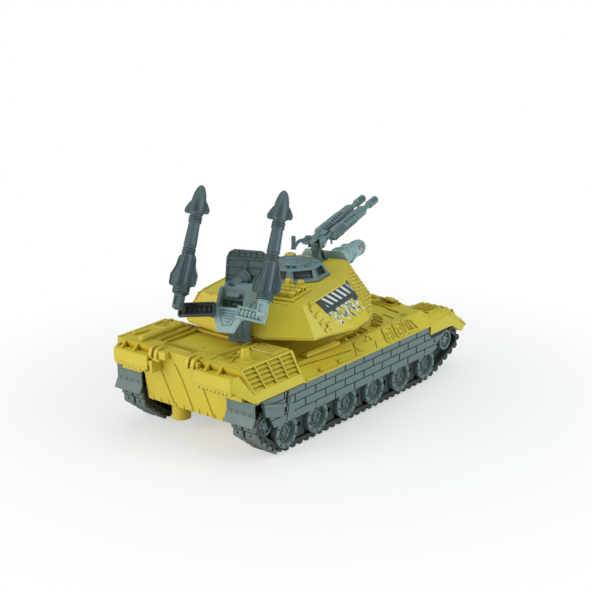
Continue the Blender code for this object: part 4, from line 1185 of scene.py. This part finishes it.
def cupola():
    """The eight-sided cupola: a stepped rim, framed dark windows and a roof with mouldings."""
    place = TURRET @ at(0, 7, ROOF_Z) @ spun(22.5)
    wall = rod((0, 0, 2.2), (0, 0, 9.6), 29, 24.4, sides=8)
    windows, frames, sills = [], [], []
    for k in range(8):
        face = spun(45 * k + 22.5) @ facing((24.7, 0, 5.9), (0, 1, 0), (0.85, 0, 0.527))
        broad = k % 2 == 0
        wide = 8.3 if broad else 6.4
        windows.append(moved(box((-wide, wide), (-3.45, 3.5), (-2.6, 3)), face))
        frame_bar = box((-wide - 1, wide + 1), (-3.9, 3.9), (-0.6, 0.7), 0.25)
        frames.append(moved(carved(frame_bar, [box((-wide, wide), (-3.2, 3.3), (-2, 3))]), face))
        sills.append(moved(box((-wide - 0.2, wide + 0.2), (-3.55, 3.6), (-1.9, -1.2)), face))
        if broad:
            sills.append(moved(box((1.2 - wide, wide - 1.2), (-1.9, 1.9), (-1.4, -0.7), 0.3), face))
    rim = [rod((0, 0, 0.3), (0, 0, 1.9), 31, sides=8), rod((0, 0, 1.7), (0, 0, 2.6), 30.2, 29.4, sides=8)]
    body = rim + [carved(together([wall]), windows)] + frames
    piece("cupola_body", "turret", "mid_grey", body, place, instead_of=("cupola",), edge=0.2,
          smooth=math.radians(6))
    piece("cupola_windows", "turret", "window", sills, place, edge=0.1)

    top = [
        rod((0, 0, 9.4), (0, 0, 10.3), 24.2, 23, sides=8),
        lathe([(0, 9), (13.2, 9), (13.2, 11), (12.4, 11.5), (11.2, 10.9), (0, 11)], 48),
        lathe([(0, 9), (4.4, 9), (4.4, 10.9), (3.6, 11.3), (2.6, 10.8), (0, 11)], 32),
        box((-6, 6), (-15.2, -12.6), (10, 12.4), 0.6),
        rod((-7.4, -15, 11.6), (7.4, -15, 11.6), 1.3, sides=24),
    ]
    for k in range(8):
        top.append(moved(box((15, 21.4), (-0.7, 0.7), (9.9, 11.3), 0.3), spun(45 * k)))
        top.append(moved(box((15.6, 19.2), (-3.4, 3.4), (9.8, 10.9), 0.35), spun(45 * k + 22.5)))
        top.append(moved(box((16.6, 18.2), (-2, 2), (10.6, 11.7), 0.35), spun(45 * k + 22.5)))
    for k in range(6):
        top.append(moved(box((6, 10.6), (-1.4, 1.4), (10.4, 11.6), 0.5), spun(60 * k + 12)))
        top.append(moved(ball((9, 4.4, 10.9), 0.9, 0.7), spun(60 * k + 12)))
    piece("cupola_roof", "turret", "mid_grey", top, place, edge=0.18)


def turret_fittings():
    """The stowage cluster of square tubes and loops, and a ribbed filler knob."""
    parts = [box((10, 34), (-62, -28), (106.7, 108.2), 0.4)]
    parts.append(box((8.6, 35.4), (-64, -61.6), (106.6, 107.8), 0.3))
    for y in (-59, -50, -41):
        mouth = [box((30, 36), (y + 1.2, y + 4.8), (108.6, 110.9))]
        grooves = [box((14 + 5 * k, 14.8 + 5 * k), (y - 1, y + 7), (111.4, 113)) for k in range(4)]
        parts.append(carved(box((12, 32.6), (y, y + 6), (107.6, 111.9), 0.7), mouth, grooves))
        parts.append(box((28.4, 30), (y - 0.5, y + 6.5), (107.6, 112.4), 0.3))
    for x in (15.5, 26):
        disc = lathe([(0, -1.7), (4.1, -1.7), (4.1, 1.7), (0, 1.7)], 28)
        ring = carved(disc, [rod((0, 0, -3), (0, 0, 3), 2.1, sides=22)])
        parts.append(moved(ring, at(x, -32.4, 111) @ spun(90, "Y")))
        parts.append(box((x - 1.7, x + 1.7), (-36, -29), (107.4, 109), 0.3))
    parts.append(box((11, 33), (-35.8, -34.4), (107.6, 109.6), 0.3))
    parts.append(rod((14, -38.2, 109), (31, -38.2, 109), 0.9, sides=14))
    piece("stowage_boxes", "turret", "yellow", parts, TURRET, instead_of=("stowage_cluster",), edge=0.16)
    profile = [
        (0, 0.3), (5.4, 0.3), (5.4, 1.2), (4.6, 1.6), (4.4, 3.8), (3.6, 4.6), (1.6, 4.7), (1.4, 4.1),
        (0, 4.1),
    ]
    knob = [lathe(profile, 40)]
    knob += [moved(box((4, 5), (-0.45, 0.45), (1.2, 4), 0.15), spun(30 * k)) for k in range(12)]
    piece("filler_knob", "turret", "yellow", knob, TURRET @ at(-24, 52, ROOF_Z),
          instead_of=("roof_knob",), edge=0.12)


# Main gun ---------------------------------------------------------------------------------------


def main_gun():
    """The mantlet with its shield, the stepped barrel, and the muzzle ring with its red marks."""
    face = [(18, 9.5, -6), (24, 9.5, 6), (18, 9.5, 15), (12, 27, -8), (12, 27, 9), (16, 20, 12)]
    slots = [box((-30, 30), (13.6 + 4 * k, 14.4 + 4 * k), (11.4, 20)) for k in range(2)]
    parts = [box((-8, 8), (-3.5, 12), (-4.5, 4.5), 0.5), rod((-13.5, 0, 0), (13.5, 0, 0), 2.5)]
    parts.append(carved(wrapped(both_sides(face)), slots))
    for x in (-13, 13):
        parts.append(box((x - 2.2, x + 2.2), (11, 19), (10, 14.6), 0.6))
        bolt = lathe([(0, 0), (2.2, 0), (2.2, 1), (1.3, 1.5), (0, 1.2)], 20)
        parts.append(moved(bolt, forward(x * 0.7, 26.4, -2)))
    piece("mantlet", "gun", "light_grey", parts, GUN, instead_of=("gun_mantlet",), edge=0.25)
    profile = [
        (0, 27.4), (8.2, 27.4), (8.2, 31), (8.9, 31.4), (8.9, 33.6), (8.2, 34), (8.2, 35.4), (9.4, 36),
        (9.4, 45.4), (8.6, 45.7), (7.6, 46.4), (7.6, 48.4), (8.1, 48.7), (8.1, 50.3), (7.6, 50.6),
        (7.6, 55.4), (8.2, 55.8), (8.6, 56.4), (8.6, 62), (8.2, 62.3), (7.5, 63.4), (7.3, 64), (7.3, 77.9),
        (6.9, 78.2), (6.9, 81.2),
        (7.3, 81.5), (7.2, 84), (6.8, 86.2), (6, 88), (4.9, 89.2), (3.8, 89.4), (3.6, 84.5), (0, 84.5),
    ]
    slots = [box((-1.2, 1.2), (37.6 + 2.4 * k, 38.8 + 2.4 * k), (8.6, 12)) for k in range(3)]
    barrel = [carved(moved(lathe(profile, 64), forward()), slots)]
    for k in range(6):
        barrel.append(moved(box((-1.5, 1.5), (57.6, 61), (8.2, 9.35), 0.3), spun(60 * k + 30, "Y")))
        barrel.append(moved(box((-1, 1), (36.8, 44.6), (9, 9.9), 0.3), spun(60 * k + 30, "Y")))
    piece("barrel", "gun", "light_grey", barrel, GUN, instead_of=("gun_barrel",), edge=0.14)
    band = lathe([(6.8, 78.4), (7.4, 78.4), (7.5, 79), (7.5, 80.4), (7.4, 81), (6.8, 81)], 64)
    piece("muzzle_band", "gun", "light_grey", [moved(band, forward())], GUN,
          instead_of=("muzzle_ring",), edge=0.08)
    marks = []
    for middle, reach in ((66, 12), (118, 8), (200, 8), (300, 10)):
        for k in range(-reach, reach + 1, 2):
            marks.append(moved(box((-0.26, 0.26), (78.7, 80.8), (7, 7.62)), spun(middle + 1.7 * k, "Y")))
    for k in range(6):
        marks.append(moved(box((-0.32, 0.32), (70.4, 76.6 - 0.9 * k), (7, 7.45)), spun(54 + 4.4 * k, "Y")))
    piece("muzzle_marks", "gun", "red", marks, GUN, edge=0)


# Machine guns -----------------------------------------------------------------------------------


def machine_guns():
    """The post with its legs, the receiver, and the twin guns."""
    mg_post()
    mg_receiver()
    for word, side, _ in SIDES:
        place = MACHINE_GUNS @ at(side * 6.2, 0, 1.9) @ spun(-82.9, "X")
        piece(f"mg_tube_{word}", "mg_guns", "mid_grey", mg_tube(), place,
              instead_of=(f"mg_barrel_{word}",), edge=0.09)


def mg_post():
    """The post, its foot on the turret roof 14.2 mm below the guns' pin, with two splayed legs in front."""
    foot = [
        (0, -14.2), (6.6, -14.2), (6.6, -13.4), (5.6, -12.6), (4.6, -12.2), (3.9, -8), (3.6, -3), (3.6, -2),
        (0, -2),
    ]
    eye = carved(box((-3.6, 3.6), (-4.5, 4.5), (-5, 2.7), 0.7), [rod((-9, 0, 0), (9, 0, 0), 2.1, sides=24)])
    leg = [(2, 2, -5), (4.2, 2, -5), (2, 5.4, -5.8), (4.2, 5.4, -5.8)]
    leg += [(x, y, -14) for x in (3.6, 6.2) for y in (5, 8.2)]
    legs = [wrapped(leg), box((2.9, 6.9), (4.4, 9), (-14.3, -13.1), 0.3)]
    parts = [lathe(foot, 40), eye] + pair(legs) + [box((-2.2, 2.2), (-5.8, -3.6), (-8, -1.2), 0.4)]
    piece("mg_stand", "mg_mount", "dark_grey", parts, MACHINE_GUNS, instead_of=("mg_post",), edge=0.14)


def mg_receiver():
    """The spine over the post, the cheeks beside it with pin heads, and the yokes that hold the guns."""
    spine = [
        (-21, 4.6), (-14, 4.8), (-8, 4.4), (10, 4.4), (20, 2.6), (21, 7.2), (17, 8.6), (10, 6.6), (-5, 6.4),
        (-10, 8.8), (-20, 8.8),
    ]
    cheek = [(-4, -2.6), (3, -2.6), (9, 1.8), (22, 4), (21, 7.4), (8, 6.4), (-6, 5.4)]
    head = lathe([(0, 0), (2.4, 0), (2.4, 0.9), (1.8, 1.4), (0, 1.2)], 24)
    parts = [prism(spine, "x", -2.9, 2.9), box((-4, 4), (-21.4, -19.2), (5.2, 9), 0.3)]
    parts += pair([prism(cheek, "x", 4.8, 6.2), moved(head, at(6.16, 0, 0) @ spun(90, "Y"))])
    parts += [
        box((-6, 6), (-4.6, 7.2), (4.7, 6.2), 0.3),
        box((-9.6, 9.6), (17, 20.4), (1.2, 6.6), 0.5),
        box((-8.8, 8.8), (14.4, 17.6), (2.4, 5.2), 0.4),
        box((-3.6, 3.6), (-17, -9), (8.6, 9.6), 0.2),
        rod((-7.4, 8, 4.2), (7.4, 8, 4.2), 1.2, sides=20),
        tube([(6.4, 12, 4), (8.8, 11, 1.6), (9.4, 10, -1)], 0.9),
    ]
    parts += [box((-2, 2), (-3.0 + 4.6 * k, -0.6 + 4.6 * k), (6.2, 8), 0.3) for k in range(3)]
    piece("mg_body", "mg_guns", "mid_grey", parts, MACHINE_GUNS, instead_of=("mg_receiver",), edge=0.14)


def mg_tube():
    """One gun about z: coil ribs, a pierced jacket, a stepped sleeve, the thin barrel and a ribbed muzzle."""
    profile = [(0, 18.5), (3.6, 18.5), (4.6, 19.3)]
    for k in range(5):
        z = 20 + 3.3 * k
        profile += [(3.7, z), (5.5, z + 0.7), (5.5, z + 1.9), (3.7, z + 2.5)]
    profile += [
        (4.2, 37), (5.3, 37.6), (5.3, 61.5), (4.2, 62.2), (4.2, 63.4), (5, 63.8), (5, 66), (4, 66.6), (4, 86),
        (3.5, 86.6), (2.3, 87), (2.3, 99.4), (3, 99.6), (3.5, 100), (3.5, 115), (3, 116), (1.7, 116),
        (1.6, 111), (0, 111),
    ]
    holes = []
    for row in range(6):
        for k in range(5):
            z = 39.6 + 4.4 * k + 2.2 * (row % 2)
            holes.append(moved(rod((3.6, 0, z), (6.6, 0, z), 1.2, sides=14), spun(60 * row)))
    slits, ribs = [], []
    for row in range(4):
        turn = spun(90 * row + 45)
        for k in range(4):
            z = 102.6 + 2.9 * k
            slits.append(moved(box((2.7, 4.4), (-1.3, 1.3), (z, z + 1.5)), turn))
        ribs.append(moved(box((3.6, 4.7), (-0.5, 0.5), (67.4, 85.4), 0.2), turn))
    return [carved(lathe(profile, 40), holes, slits)] + ribs


def crank():
    """The cranked arm behind the guns, with a hub and a turning handle."""
    bends = ((0, 0.7), (-6, 0.4), (-11, 0.8), (-16, 1.4), (-21, 1), (-25, -0.8), (-28, -1.3))
    path = [(0, y, z) for y, z in bends]
    hub = [(0, -0.2), (2.8, -0.2), (2.8, 1.4), (2.2, 2), (1.2, 2.2), (0, 1.8)]
    handle = [
        (0, -2.8), (2.2, -2.8), (2.3, -1.8), (1.8, -1), (1.7, 4), (1.9, 4.4), (1.9, 7.4), (1.4, 8.2),
        (0, 8.3),
    ]
    parts = [tube(path, 1.5, 18), lathe(hub, 30), moved(lathe(handle, 30), at(0, -28, 0))]
    piece("mg_crank_arm", "mg_crank", "dark_grey", parts, CRANK, instead_of=("mg_crank",), edge=0.12)


# Missile launcher -------------------------------------------------------------------------------

PIN_Z = 107.0


def launcher():
    post()
    firing_head()
    rear_shield()
    aiming_panel()
    for word, side, flip in SIDES:
        arm(word, flip)
        cradle(word, side)
        missile(word, side)
    button = [prism(rounded(5, 1.55, 1.5), "z", -2.9, 1.3), prism(rounded(4.4, 1.05, 1), "z", 1.2, 1.6)]
    piece("fire_button", "launch_button", "mid_grey", button, BUTTON, instead_of=("launch_button",), edge=0.2)


def post():
    """The eight-sided pillar with its ribs, and the tongue that carries the head's pin."""
    parts = [
        moved(rod((0, 0, 81.2), (0, 0, 98.6), 8.6, sides=8), spun(22.5)),
        rod((0, 0, 80.7), (0, 0, 82), 8.2, sides=48),
        box((-4, 4), (-6, 6), (98, PIN_Z), 0.3),
        rod((-4, 0, PIN_Z), (4, 0, PIN_Z), 6, sides=40),
    ]
    parts += [moved(box((7.2, 8.4), (-1.1, 1.1), (83, 96.4), 0.3), spun(45 * k)) for k in range(8)]
    piece("launcher_post", "launcher", "dark_grey", parts, LAUNCHER,
          instead_of=("launcher_pillar",), edge=0.2)


def firing_head():
    """The firing head: cheeks round an open pocket, and a domed cover with the button's slot."""
    cover = [(8, 101.8), (8, 121), (4, 124.4)]
    for k in range(9):
        angle = math.radians(10 + 95 * k / 8)
        cover.append((0.8 - 9.0 * math.sin(angle), 113.6 + 11.0 * math.cos(angle)))
    cover += [(-14, 108), (-14, 101.8)]
    slot = moved(prism(rounded(5.4, 2, 1.9), "z", -4.8, 4), LAUNCHER.inverted() @ BUTTON)
    core = carved(prism(cover, "x", -10.6, 10.6),
                  [box((-4.4, 4.4), (-30, 15), (95, PIN_Z))],
                  [rod((-4.4, 0, PIN_Z), (4.4, 0, PIN_Z), 6.4, sides=36)],
                  [rod((-20, 0, PIN_Z), (20, 0, PIN_Z), 2.1, sides=24)],
                  [slot], [box((-9.6, 9.6), (-30, -4.4), (103.4, 113.6))])
    cheek = [
        (-14, 102.2), (-22.6, 105.8), (-18.8, 112), (-10, 122.6), (-6.8, 123.8), (-7.6, 112.6), (-9, 103),
    ]
    boss = lathe([(0, 10), (3.4, 10), (3.4, 11.8), (2.6, 12.3), (0, 12)], 28)
    flanks = [
        prism(cheek, "x", 9.7, 11.5),
        box((10.4, 12.2), (-8, 7.4), (103, 109), 0.5),
        moved(boss, at(0, 0, PIN_Z) @ spun(90, "Y")),
    ]
    piece("firing_head", "launcher_head", "mid_grey", [core] + pair(flanks), LAUNCHER,
          instead_of=("launcher_head", "tilt_pin"), edge=0.2)


def rear_shield():
    """The six-sided shield behind the head, with a grooved crest, five bars and a lip along its top."""
    outer = [(10.8, -19.3, 111.5), (12, -22.4, 106.2), (6.4, -29, 95)]
    inner = [(x, y + 1.55, z - 0.91) for x, y, z in outer]
    face = facing((0, -22.9, 105.3), (1, 0, 0), (0, -0.863, 0.505))
    crest = [(-3.4, -7), (3.4, -7), (8.4, 4.9), (-8.4, 4.9)]
    groove = carved(prism(crest, "z", -0.5, 1.2), [prism(inset(crest, 0.7), "z", -1.2, 2)])
    shield = [carved(wrapped(both_sides(outer + inner)), [moved(groove, face)])]
    for k in range(5):
        wide, y = 6.2 - k, 3.4 - 2.0 * k
        shield.append(moved(box((-wide, wide - 0.6), (y - 0.6, y + 0.6), (-0.4, 0.75), 0.2), face))
    lip = [(-10.9, 6), (10.9, 6), (11, 6.9), (-11, 6.9)]
    shield.append(moved(prism(lip, "z", -1.6, 0.3), face))
    piece("rear_shield", "launcher_head", "light_grey", shield, LAUNCHER,
          instead_of=("blast_shield",), edge=0.16)


def aiming_panel():
    """The leaning aiming panel with its row of small windows, ribs and centre ridge, and the stepped horn."""
    place = facing((0, 9, 119.6), (1, 0, 0), (0, -0.885, 0.466))
    half = [(14, -1.6), (15.2, 4), (17, 21.6), (15.6, 26.4), (11.4, 28.8)]
    outline = half + [(-x, y) for x, y in reversed(half)]
    parts = [carved(prism(outline, "z", -2.6, 0.6), [prism(inset(outline, 1.5), "z", -0.3, 2)])]
    for y, wide in ((3.4, 13.4), (9.6, 14.2), (15.6, 15.2), (21.4, 15.8)):
        parts.append(box((-wide, wide), (y - 0.55, y + 0.55), (-0.8, 0.75), 0.2))
    for x in (-9.6, -4.8, 0, 4.8, 9.6):
        parts.append(carved(box((x - 2, x + 2), (23.6, 27.2), (-0.8, 0.75), 0.2),
                            [box((x - 1.3, x + 1.3), (24.3, 26.5), (0.1, 2))]))
    ridge = [(-1.4, 9, -0.4), (1.4, 9, -0.4), (-0.6, 22, -0.4), (0.6, 22, -0.4), (0, 9, 3.2), (0, 20, 0.9)]
    web = [(x, y, -0.4) for x in (-1, 1) for y in (8, 22)] + [(-0.4, 8, 5.2), (0.4, 8, 5.2)]
    parts += [wrapped(ridge), wrapped(web)]
    parts.append(box((-1.6, 1.6), (-1.6, 4.6), (-0.4, 2.4), 0.4))
    parts += [box((-10, 10), (2, 20), (-3.4, -2.4), 0.4), box((-1.2, 1.2), (0, 26), (-4.2, -2.4), 0.4)]
    horn = [
        (0, -0.8), (6.2, -0.8), (6.2, 1.2), (5.4, 1.6), (5.4, 2.6), (5.9, 2.9), (5.9, 4.2), (5.2, 4.6),
        (5.2, 5.6), (4.2, 6.2), (3.9, 6.6), (3.7, 13.6), (3.4, 15), (2.8, 15.8), (2, 16.1), (1.8, 15.2),
        (0, 15.2),
    ]
    shapes = [moved(shape, place) for shape in parts]
    shapes.append(moved(lathe(horn, 44), facing((0, 11.7, 126.3), (1, 0, 0), (-0.34, -0.9, -0.2))))
    piece("aiming_panel", "launcher_head", "dark_grey", shapes, LAUNCHER,
          instead_of=("back_panel", "nozzle"), edge=0.16)


def arm(word, flip):
    """A channel-shaped arm with bracket-shaped ribs, swept from the head to a launch block.

    The left arm is the longer, taller and deeper one. Both are drawn on the right and flipped.
    """
    start = Vector((11.2, -21.5, 107.4))
    # The left arm takes a darker grey than the right one as painted shade; the right arm is light grey.
    end, tall, floor, finish = {
        "left": (Vector((32.4, -37.4, 114.6)), 5.2, -0.6, "painted_shade_grey"),
        "right": (Vector((28.4, -34.4, 113.2)), 4.4, 0.8, "light_grey"),
    }[word]
    place = facing((start + end) / 2, end - start, (0, -0.837, 0.548))
    half = (end - start).length / 2
    parts = [carved(box((-half, half + 1), (-tall, tall), (-3, 1.6), 0.4),
                    [box((0.8 - half, half - 0.2), (1 - tall, tall - 1), (floor, 3))])]
    for k in range(6):
        x = -half + 2.4 + (2 * half - 4) / 6 * k
        parts.append(box((x, x + 1), (-2.9, 2.9), (-1, 1.1), 0.2))
        parts += [box((x + 0.1, x + 2.4), y, (-1, 1), 0.2) for y in ((1.8, 2.8), (-2.8, -1.8))]
    parts = [moved(shape, place) for shape in parts]
    root = [(11, y, z) for y in (-23.5, -15) for z in (103.4, 110.4)]
    parts.append(wrapped(root + [(14.6, y, z) for y in (-25, -20) for z in (104.6, 111.4)]))
    shapes = [moved(shape, flip) for shape in parts]
    piece(f"{word}_side_arm", "launcher_head", finish, shapes, LAUNCHER,
          instead_of=(f"{word}_arm",), edge=0.18)


def cradle(word, side):
    """The block under a missile, with a slot in its outer face, a seat ring and the missile's peg."""
    parts = [
        carved(box((-3.1, 3.1), (-3.8, 3.8), (-12.4, -0.4), 0.5), [box((-1.6, 1.6), (-6, -3), (-9.8, -3.4))]),
        rod((0, 0, -2), (0, 0, 13), 1.6, sides=24),
        lathe([(0, -0.9), (5.4, -0.9), (5.4, -0.3), (0, -0.3)], 32),
    ]
    parts += pair([box((2.8, 3.6), (-2.6, 2.6), (-10, -2), 0.3)])
    # The left block is dark grey and the right one light grey: painted shade on the left side.
    finish = "dark_grey" if side < 0 else "light_grey"
    piece(f"{word}_launch_block", "launcher_head", finish, parts, missile_place(side),
          instead_of=(f"{word}_cradle",), edge=0.16)


def missile(word, side):
    """A missile about z: a ribbed base flange, ring groups, a blunt nose, bordered tail fins and canards."""
    body, neck, wide, nose = 5, 4.3, 5.8, 17.4
    profile = [(0, 0), (6.2, 0)]
    for k in range(4):
        z = 0.3 + 1.55 * k
        profile += [(6.5, z), (6.5, z + 0.75), (5.8, z + 0.95), (5.8, z + 1.35)]
    profile += [(4.9, 6.8), (4.9, 29.4)]
    for z in (30, 55.2):
        for k in range(3):
            ring = z + 1.9 * k
            profile += [(neck, ring), (5.1, ring + 0.35), (5.1, ring + 1), (neck, ring + 1.35)]
        profile += [(neck, z + 5.9), (body, z + 6.6)]
    profile += [(wide - 0.2, 64), (wide, 67)]
    for k in range(1, 16):
        angle = math.radians(90 * k / 16)
        profile.append((wide * math.cos(angle), 68.0 + nose * math.sin(angle)))
    profile.append((0, 68.0 + nose))
    parts = [carved(lathe(profile, 40), [rod((0, 0, -3), (0, 0, 15), 3.2, sides=24)])]
    fin = [
        (4.2, 4.6), (9.8, 5.6), (10.7, 7.2), (10.9, 14.2), (8.8, 18.6), (7.8, 21.6), (7.2, 26.4), (6, 29.4),
        (4.2, 29.4),
    ]
    field = inset(fin, 1)
    canard = [
        (4.6, 62.4), (9, 62.8), (9.9, 64), (9.9, 66.2), (8.4, 69.2), (6.8, 71.8), (5.4, 73.4), (4.6, 73.4),
    ]
    for turn in (spun(90 * k) for k in range(4)):
        blade = carved(prism(fin, "y", -0.8, 0.8), [prism(field, "y", 0.4, 2)], [prism(field, "y", -2, -0.4)])
        parts.append(moved(blade, turn))
        parts.append(moved(prism(canard, "y", -0.75, 0.75), turn))
        parts.append(moved(box((4.6, 6), (-1.5, 1.5), (6.4, 29), 0.35), turn))
    piece(f"{word}_rocket", f"{word}_missile", "dark_grey", parts, missile_place(side),
          instead_of=(f"{word}_missile",), edge=0.12)


# Finishes and inner pieces ----------------------------------------------------------------------

# Each finish: its slot in the record, colour, painted shade colour for crevices, roughness, edge wear with
# painted edge highlight and, for metal, a 1.
# CAD nodes take the first finish of their slot.
PLASTICS = {
    "yellow": ("hull_yellow", (0.655, 0.52, 0.035), (0.36, 0.20, 0.01), 0.42, 0.30),
    "grey": ("running_gear_grey", (0.135, 0.19, 0.178), (0.035, 0.052, 0.048), 0.42, 0.30),
    "shadow": ("running_gear_grey", (0.035, 0.045, 0.045), (0.015, 0.018, 0.018), 0.5, 0.1),
    "light_grey": ("light_grey", (0.3, 0.445, 0.45), (0.08, 0.125, 0.13), 0.38, 0.3),
    "mid_grey": ("light_grey", (0.15, 0.23, 0.235), (0.03, 0.048, 0.05), 0.38, 0.35),
    "dark_grey": ("dark_grey", (0.068, 0.108, 0.117), (0.014, 0.024, 0.027), 0.38, 0.5),
    # painted shade: a darker copy of the dark grey, for the left side arm
    "painted_shade_grey": ("dark_grey", (0.035, 0.052, 0.056), (0.01, 0.015, 0.016), 0.42, 0.5),
    "window": ("dark_grey", (0.012, 0.017, 0.02), (0.006, 0.008, 0.01), 0.4, 0.0),
    "track": ("track_black", (0.034, 0.038, 0.037), (0.010, 0.010, 0.011), 0.5, 0.35),
    "tread_grey": ("track_black", (0.13, 0.16, 0.155), (0.03, 0.036, 0.036), 0.5, 0.3),
    "red": ("muzzle_red", (0.42, 0.09, 0.08), (0.2, 0.03, 0.03), 0.45, 0.5),
    "white": ("gear_white", (0.72, 0.72, 0.69), (0.4, 0.4, 0.38), 0.45, 0.1),
    "green": ("board_green", (0.02, 0.15, 0.06), (0.01, 0.07, 0.03), 0.35, 0.2),
    "wrap": ("cell_wrap", (0.06, 0.08, 0.25), (0.03, 0.04, 0.1), 0.3, 0.2),
    "lead": ("lead_red", (0.42, 0.03, 0.03), (0.2, 0.01, 0.01), 0.35, 0.1),
    "steel": ("steel", (0.58, 0.58, 0.6), (0.3, 0.3, 0.3), 0.28, 0.2, 1.0),
}
FINISHES = {name: (moulded(f"{name}_plastic", *look), slot) for name, (slot, *look) in PLASTICS.items()}
FINISHES["sticker"] = (camouflage("sticker_print"), "dark_grey")


def dress_cad_nodes():
    """Every CAD node takes the procedural material of its slot in the record."""
    materials = {}
    for material, slot in FINISHES.values():
        materials.setdefault(slot, material)
    for entry in frame["record"]["subparts"]:
        obj = frame["nodes"].get(entry["node"])
        if obj is not None:
            obj.data.materials.clear()
            obj.data.materials.append(materials[entry["material_slot"]])
            obj.data.shade_smooth()
            obj.data.set_sharp_from_angle(angle=SMOOTH_ANGLE)


# Stage ------------------------------------------------------------------------------------------

WORLD_STRENGTH = 0.28
SENSOR, LENS = 36.0, 79.054
AZIMUTH, ELEVATION, ROLL = (math.radians(a) for a in (38.914, 16.787, -0.449))
CAMERA_PLACE = Vector((0.645255, -0.805045, 0.39846))
WARM, COOL, SKY = (1.0, 0.98, 0.94), (0.88, 0.98, 1.0), (0.86, 1.0, 1.0)


def camera():
    """The camera at the photo's viewing angle, solved from the photo and rolled by half a degree."""
    flat = math.cos(ELEVATION)
    back = Vector((math.sin(AZIMUTH) * flat, -math.cos(AZIMUTH) * flat, math.sin(ELEVATION)))
    right = Vector((math.cos(AZIMUTH), math.sin(AZIMUTH), 0.0))
    up = back.cross(right)
    tilted_right = right * math.cos(ROLL) + up * math.sin(ROLL)
    tilted_up = up * math.cos(ROLL) - right * math.sin(ROLL)
    data = bpy.data.cameras.new("camera")
    data.sensor_width, data.lens = SENSOR, LENS
    data.clip_start, data.clip_end = 0.05, 50.0
    obj = bpy.data.objects.new("camera", data)
    turn = Matrix((tilted_right, tilted_up, back)).transposed().to_4x4()
    obj.matrix_world = Matrix.Translation(CAMERA_PLACE) @ turn
    bpy.context.scene.collection.objects.link(obj)
    bpy.context.scene.camera = obj


def softbox(name, place, target, size, power, colour):
    data = bpy.data.lights.new(name, "AREA")
    data.shape = "RECTANGLE"
    data.size, data.size_y = size
    data.energy = power
    data.color = colour
    obj = bpy.data.objects.new(name, data)
    obj.location = place
    obj.rotation_euler = (Vector(target) - Vector(place)).to_track_quat("-Z", "Y").to_euler()
    bpy.context.scene.collection.objects.link(obj)


def seen_by_camera(tree, straight, usual, plain, output):
    """The usual shader for light, and the plain one where the camera looks straight at it."""
    blend = tree.nodes.new("ShaderNodeMixShader")
    tree.links.new(straight, blend.inputs[0])
    tree.links.new(usual, blend.inputs[1])
    tree.links.new(plain, blend.inputs[2])
    tree.links.new(blend.outputs[0], tree.nodes[output].inputs["Surface"])


def studio_floor():
    """A pale floor that fades to plain white with distance."""
    material = bpy.data.materials.new("floor")
    material.use_nodes = True
    tree = material.node_tree
    shader = tree.nodes["Principled BSDF"]
    place = tree.nodes.new("ShaderNodeTexCoord").outputs["Object"]
    tone = mix(tree, ramp(tree, noise(tree, place, 3.0), 0.3, 0.7), (0.88, 0.89, 0.89), (0.91, 0.92, 0.92))
    tree.links.new(tone, shader.inputs["Base Color"])
    shader.inputs["Roughness"].default_value = 0.9
    distance = node(tree, "ShaderNodeVectorMath", operation="LENGTH")
    tree.links.new(place, distance.inputs[0])
    white = node(tree, "ShaderNodeEmission")
    white.inputs["Color"].default_value = (1, 1, 1, 1)
    straight = node(tree, "ShaderNodeLightPath").outputs["Is Camera Ray"]
    amount = combine(tree, "MULTIPLY", ramp(tree, distance.outputs["Value"], -0.16, 0.36), straight)
    seen_by_camera(tree, amount, shader.outputs[0], white.outputs[0], "Material Output")
    bm = bmesh.new()
    bmesh.ops.create_grid(bm, x_segments=1, y_segments=1, size=12.0)
    bmesh.ops.translate(bm, vec=(0, 0, -0.0002), verts=bm.verts)
    plane = raw("floor", bm)
    plane.data.materials.append(material)


def stage():
    """The floor, a white surround and three soft boxes."""
    studio_floor()
    world = bpy.data.worlds.new("studio")
    bpy.context.scene.world = world
    world.use_nodes = True
    tree = world.node_tree
    background = tree.nodes["Background"]
    background.inputs["Color"].default_value = (0.93, 0.98, 1.0, 1.0)
    background.inputs["Strength"].default_value = WORLD_STRENGTH
    plain = node(tree, "ShaderNodeBackground")
    plain.inputs["Color"].default_value = (1, 1, 1, 1)
    straight = node(tree, "ShaderNodeLightPath").outputs["Is Camera Ray"]
    seen_by_camera(tree, straight, background.outputs[0], plain.outputs[0], "World Output")
    softbox("left_box", (-0.55, -1.3, 0.5), (0, -0.02, 0.05), (1.0, 1.0), 12.5, WARM)
    softbox("right_box", (1.35, 0.35, 0.6), (0, 0, 0.05), (0.9, 1.2), 11.4, COOL)
    softbox("top_box", (0.0, 0.15, 1.4), (0, 0, 0), (1.6, 1.6), 8.2, SKY)
    bpy.context.scene.view_settings.view_transform = "Standard"
    bpy.context.scene.view_settings.look = "None"


dress_cad_nodes()
hull()
running_gear()
tracks()
mud_flaps()
turret_body()
turret_floor()
cupola()
turret_fittings()
main_gun()
machine_guns()
crank()
launcher()
camera()
stage()
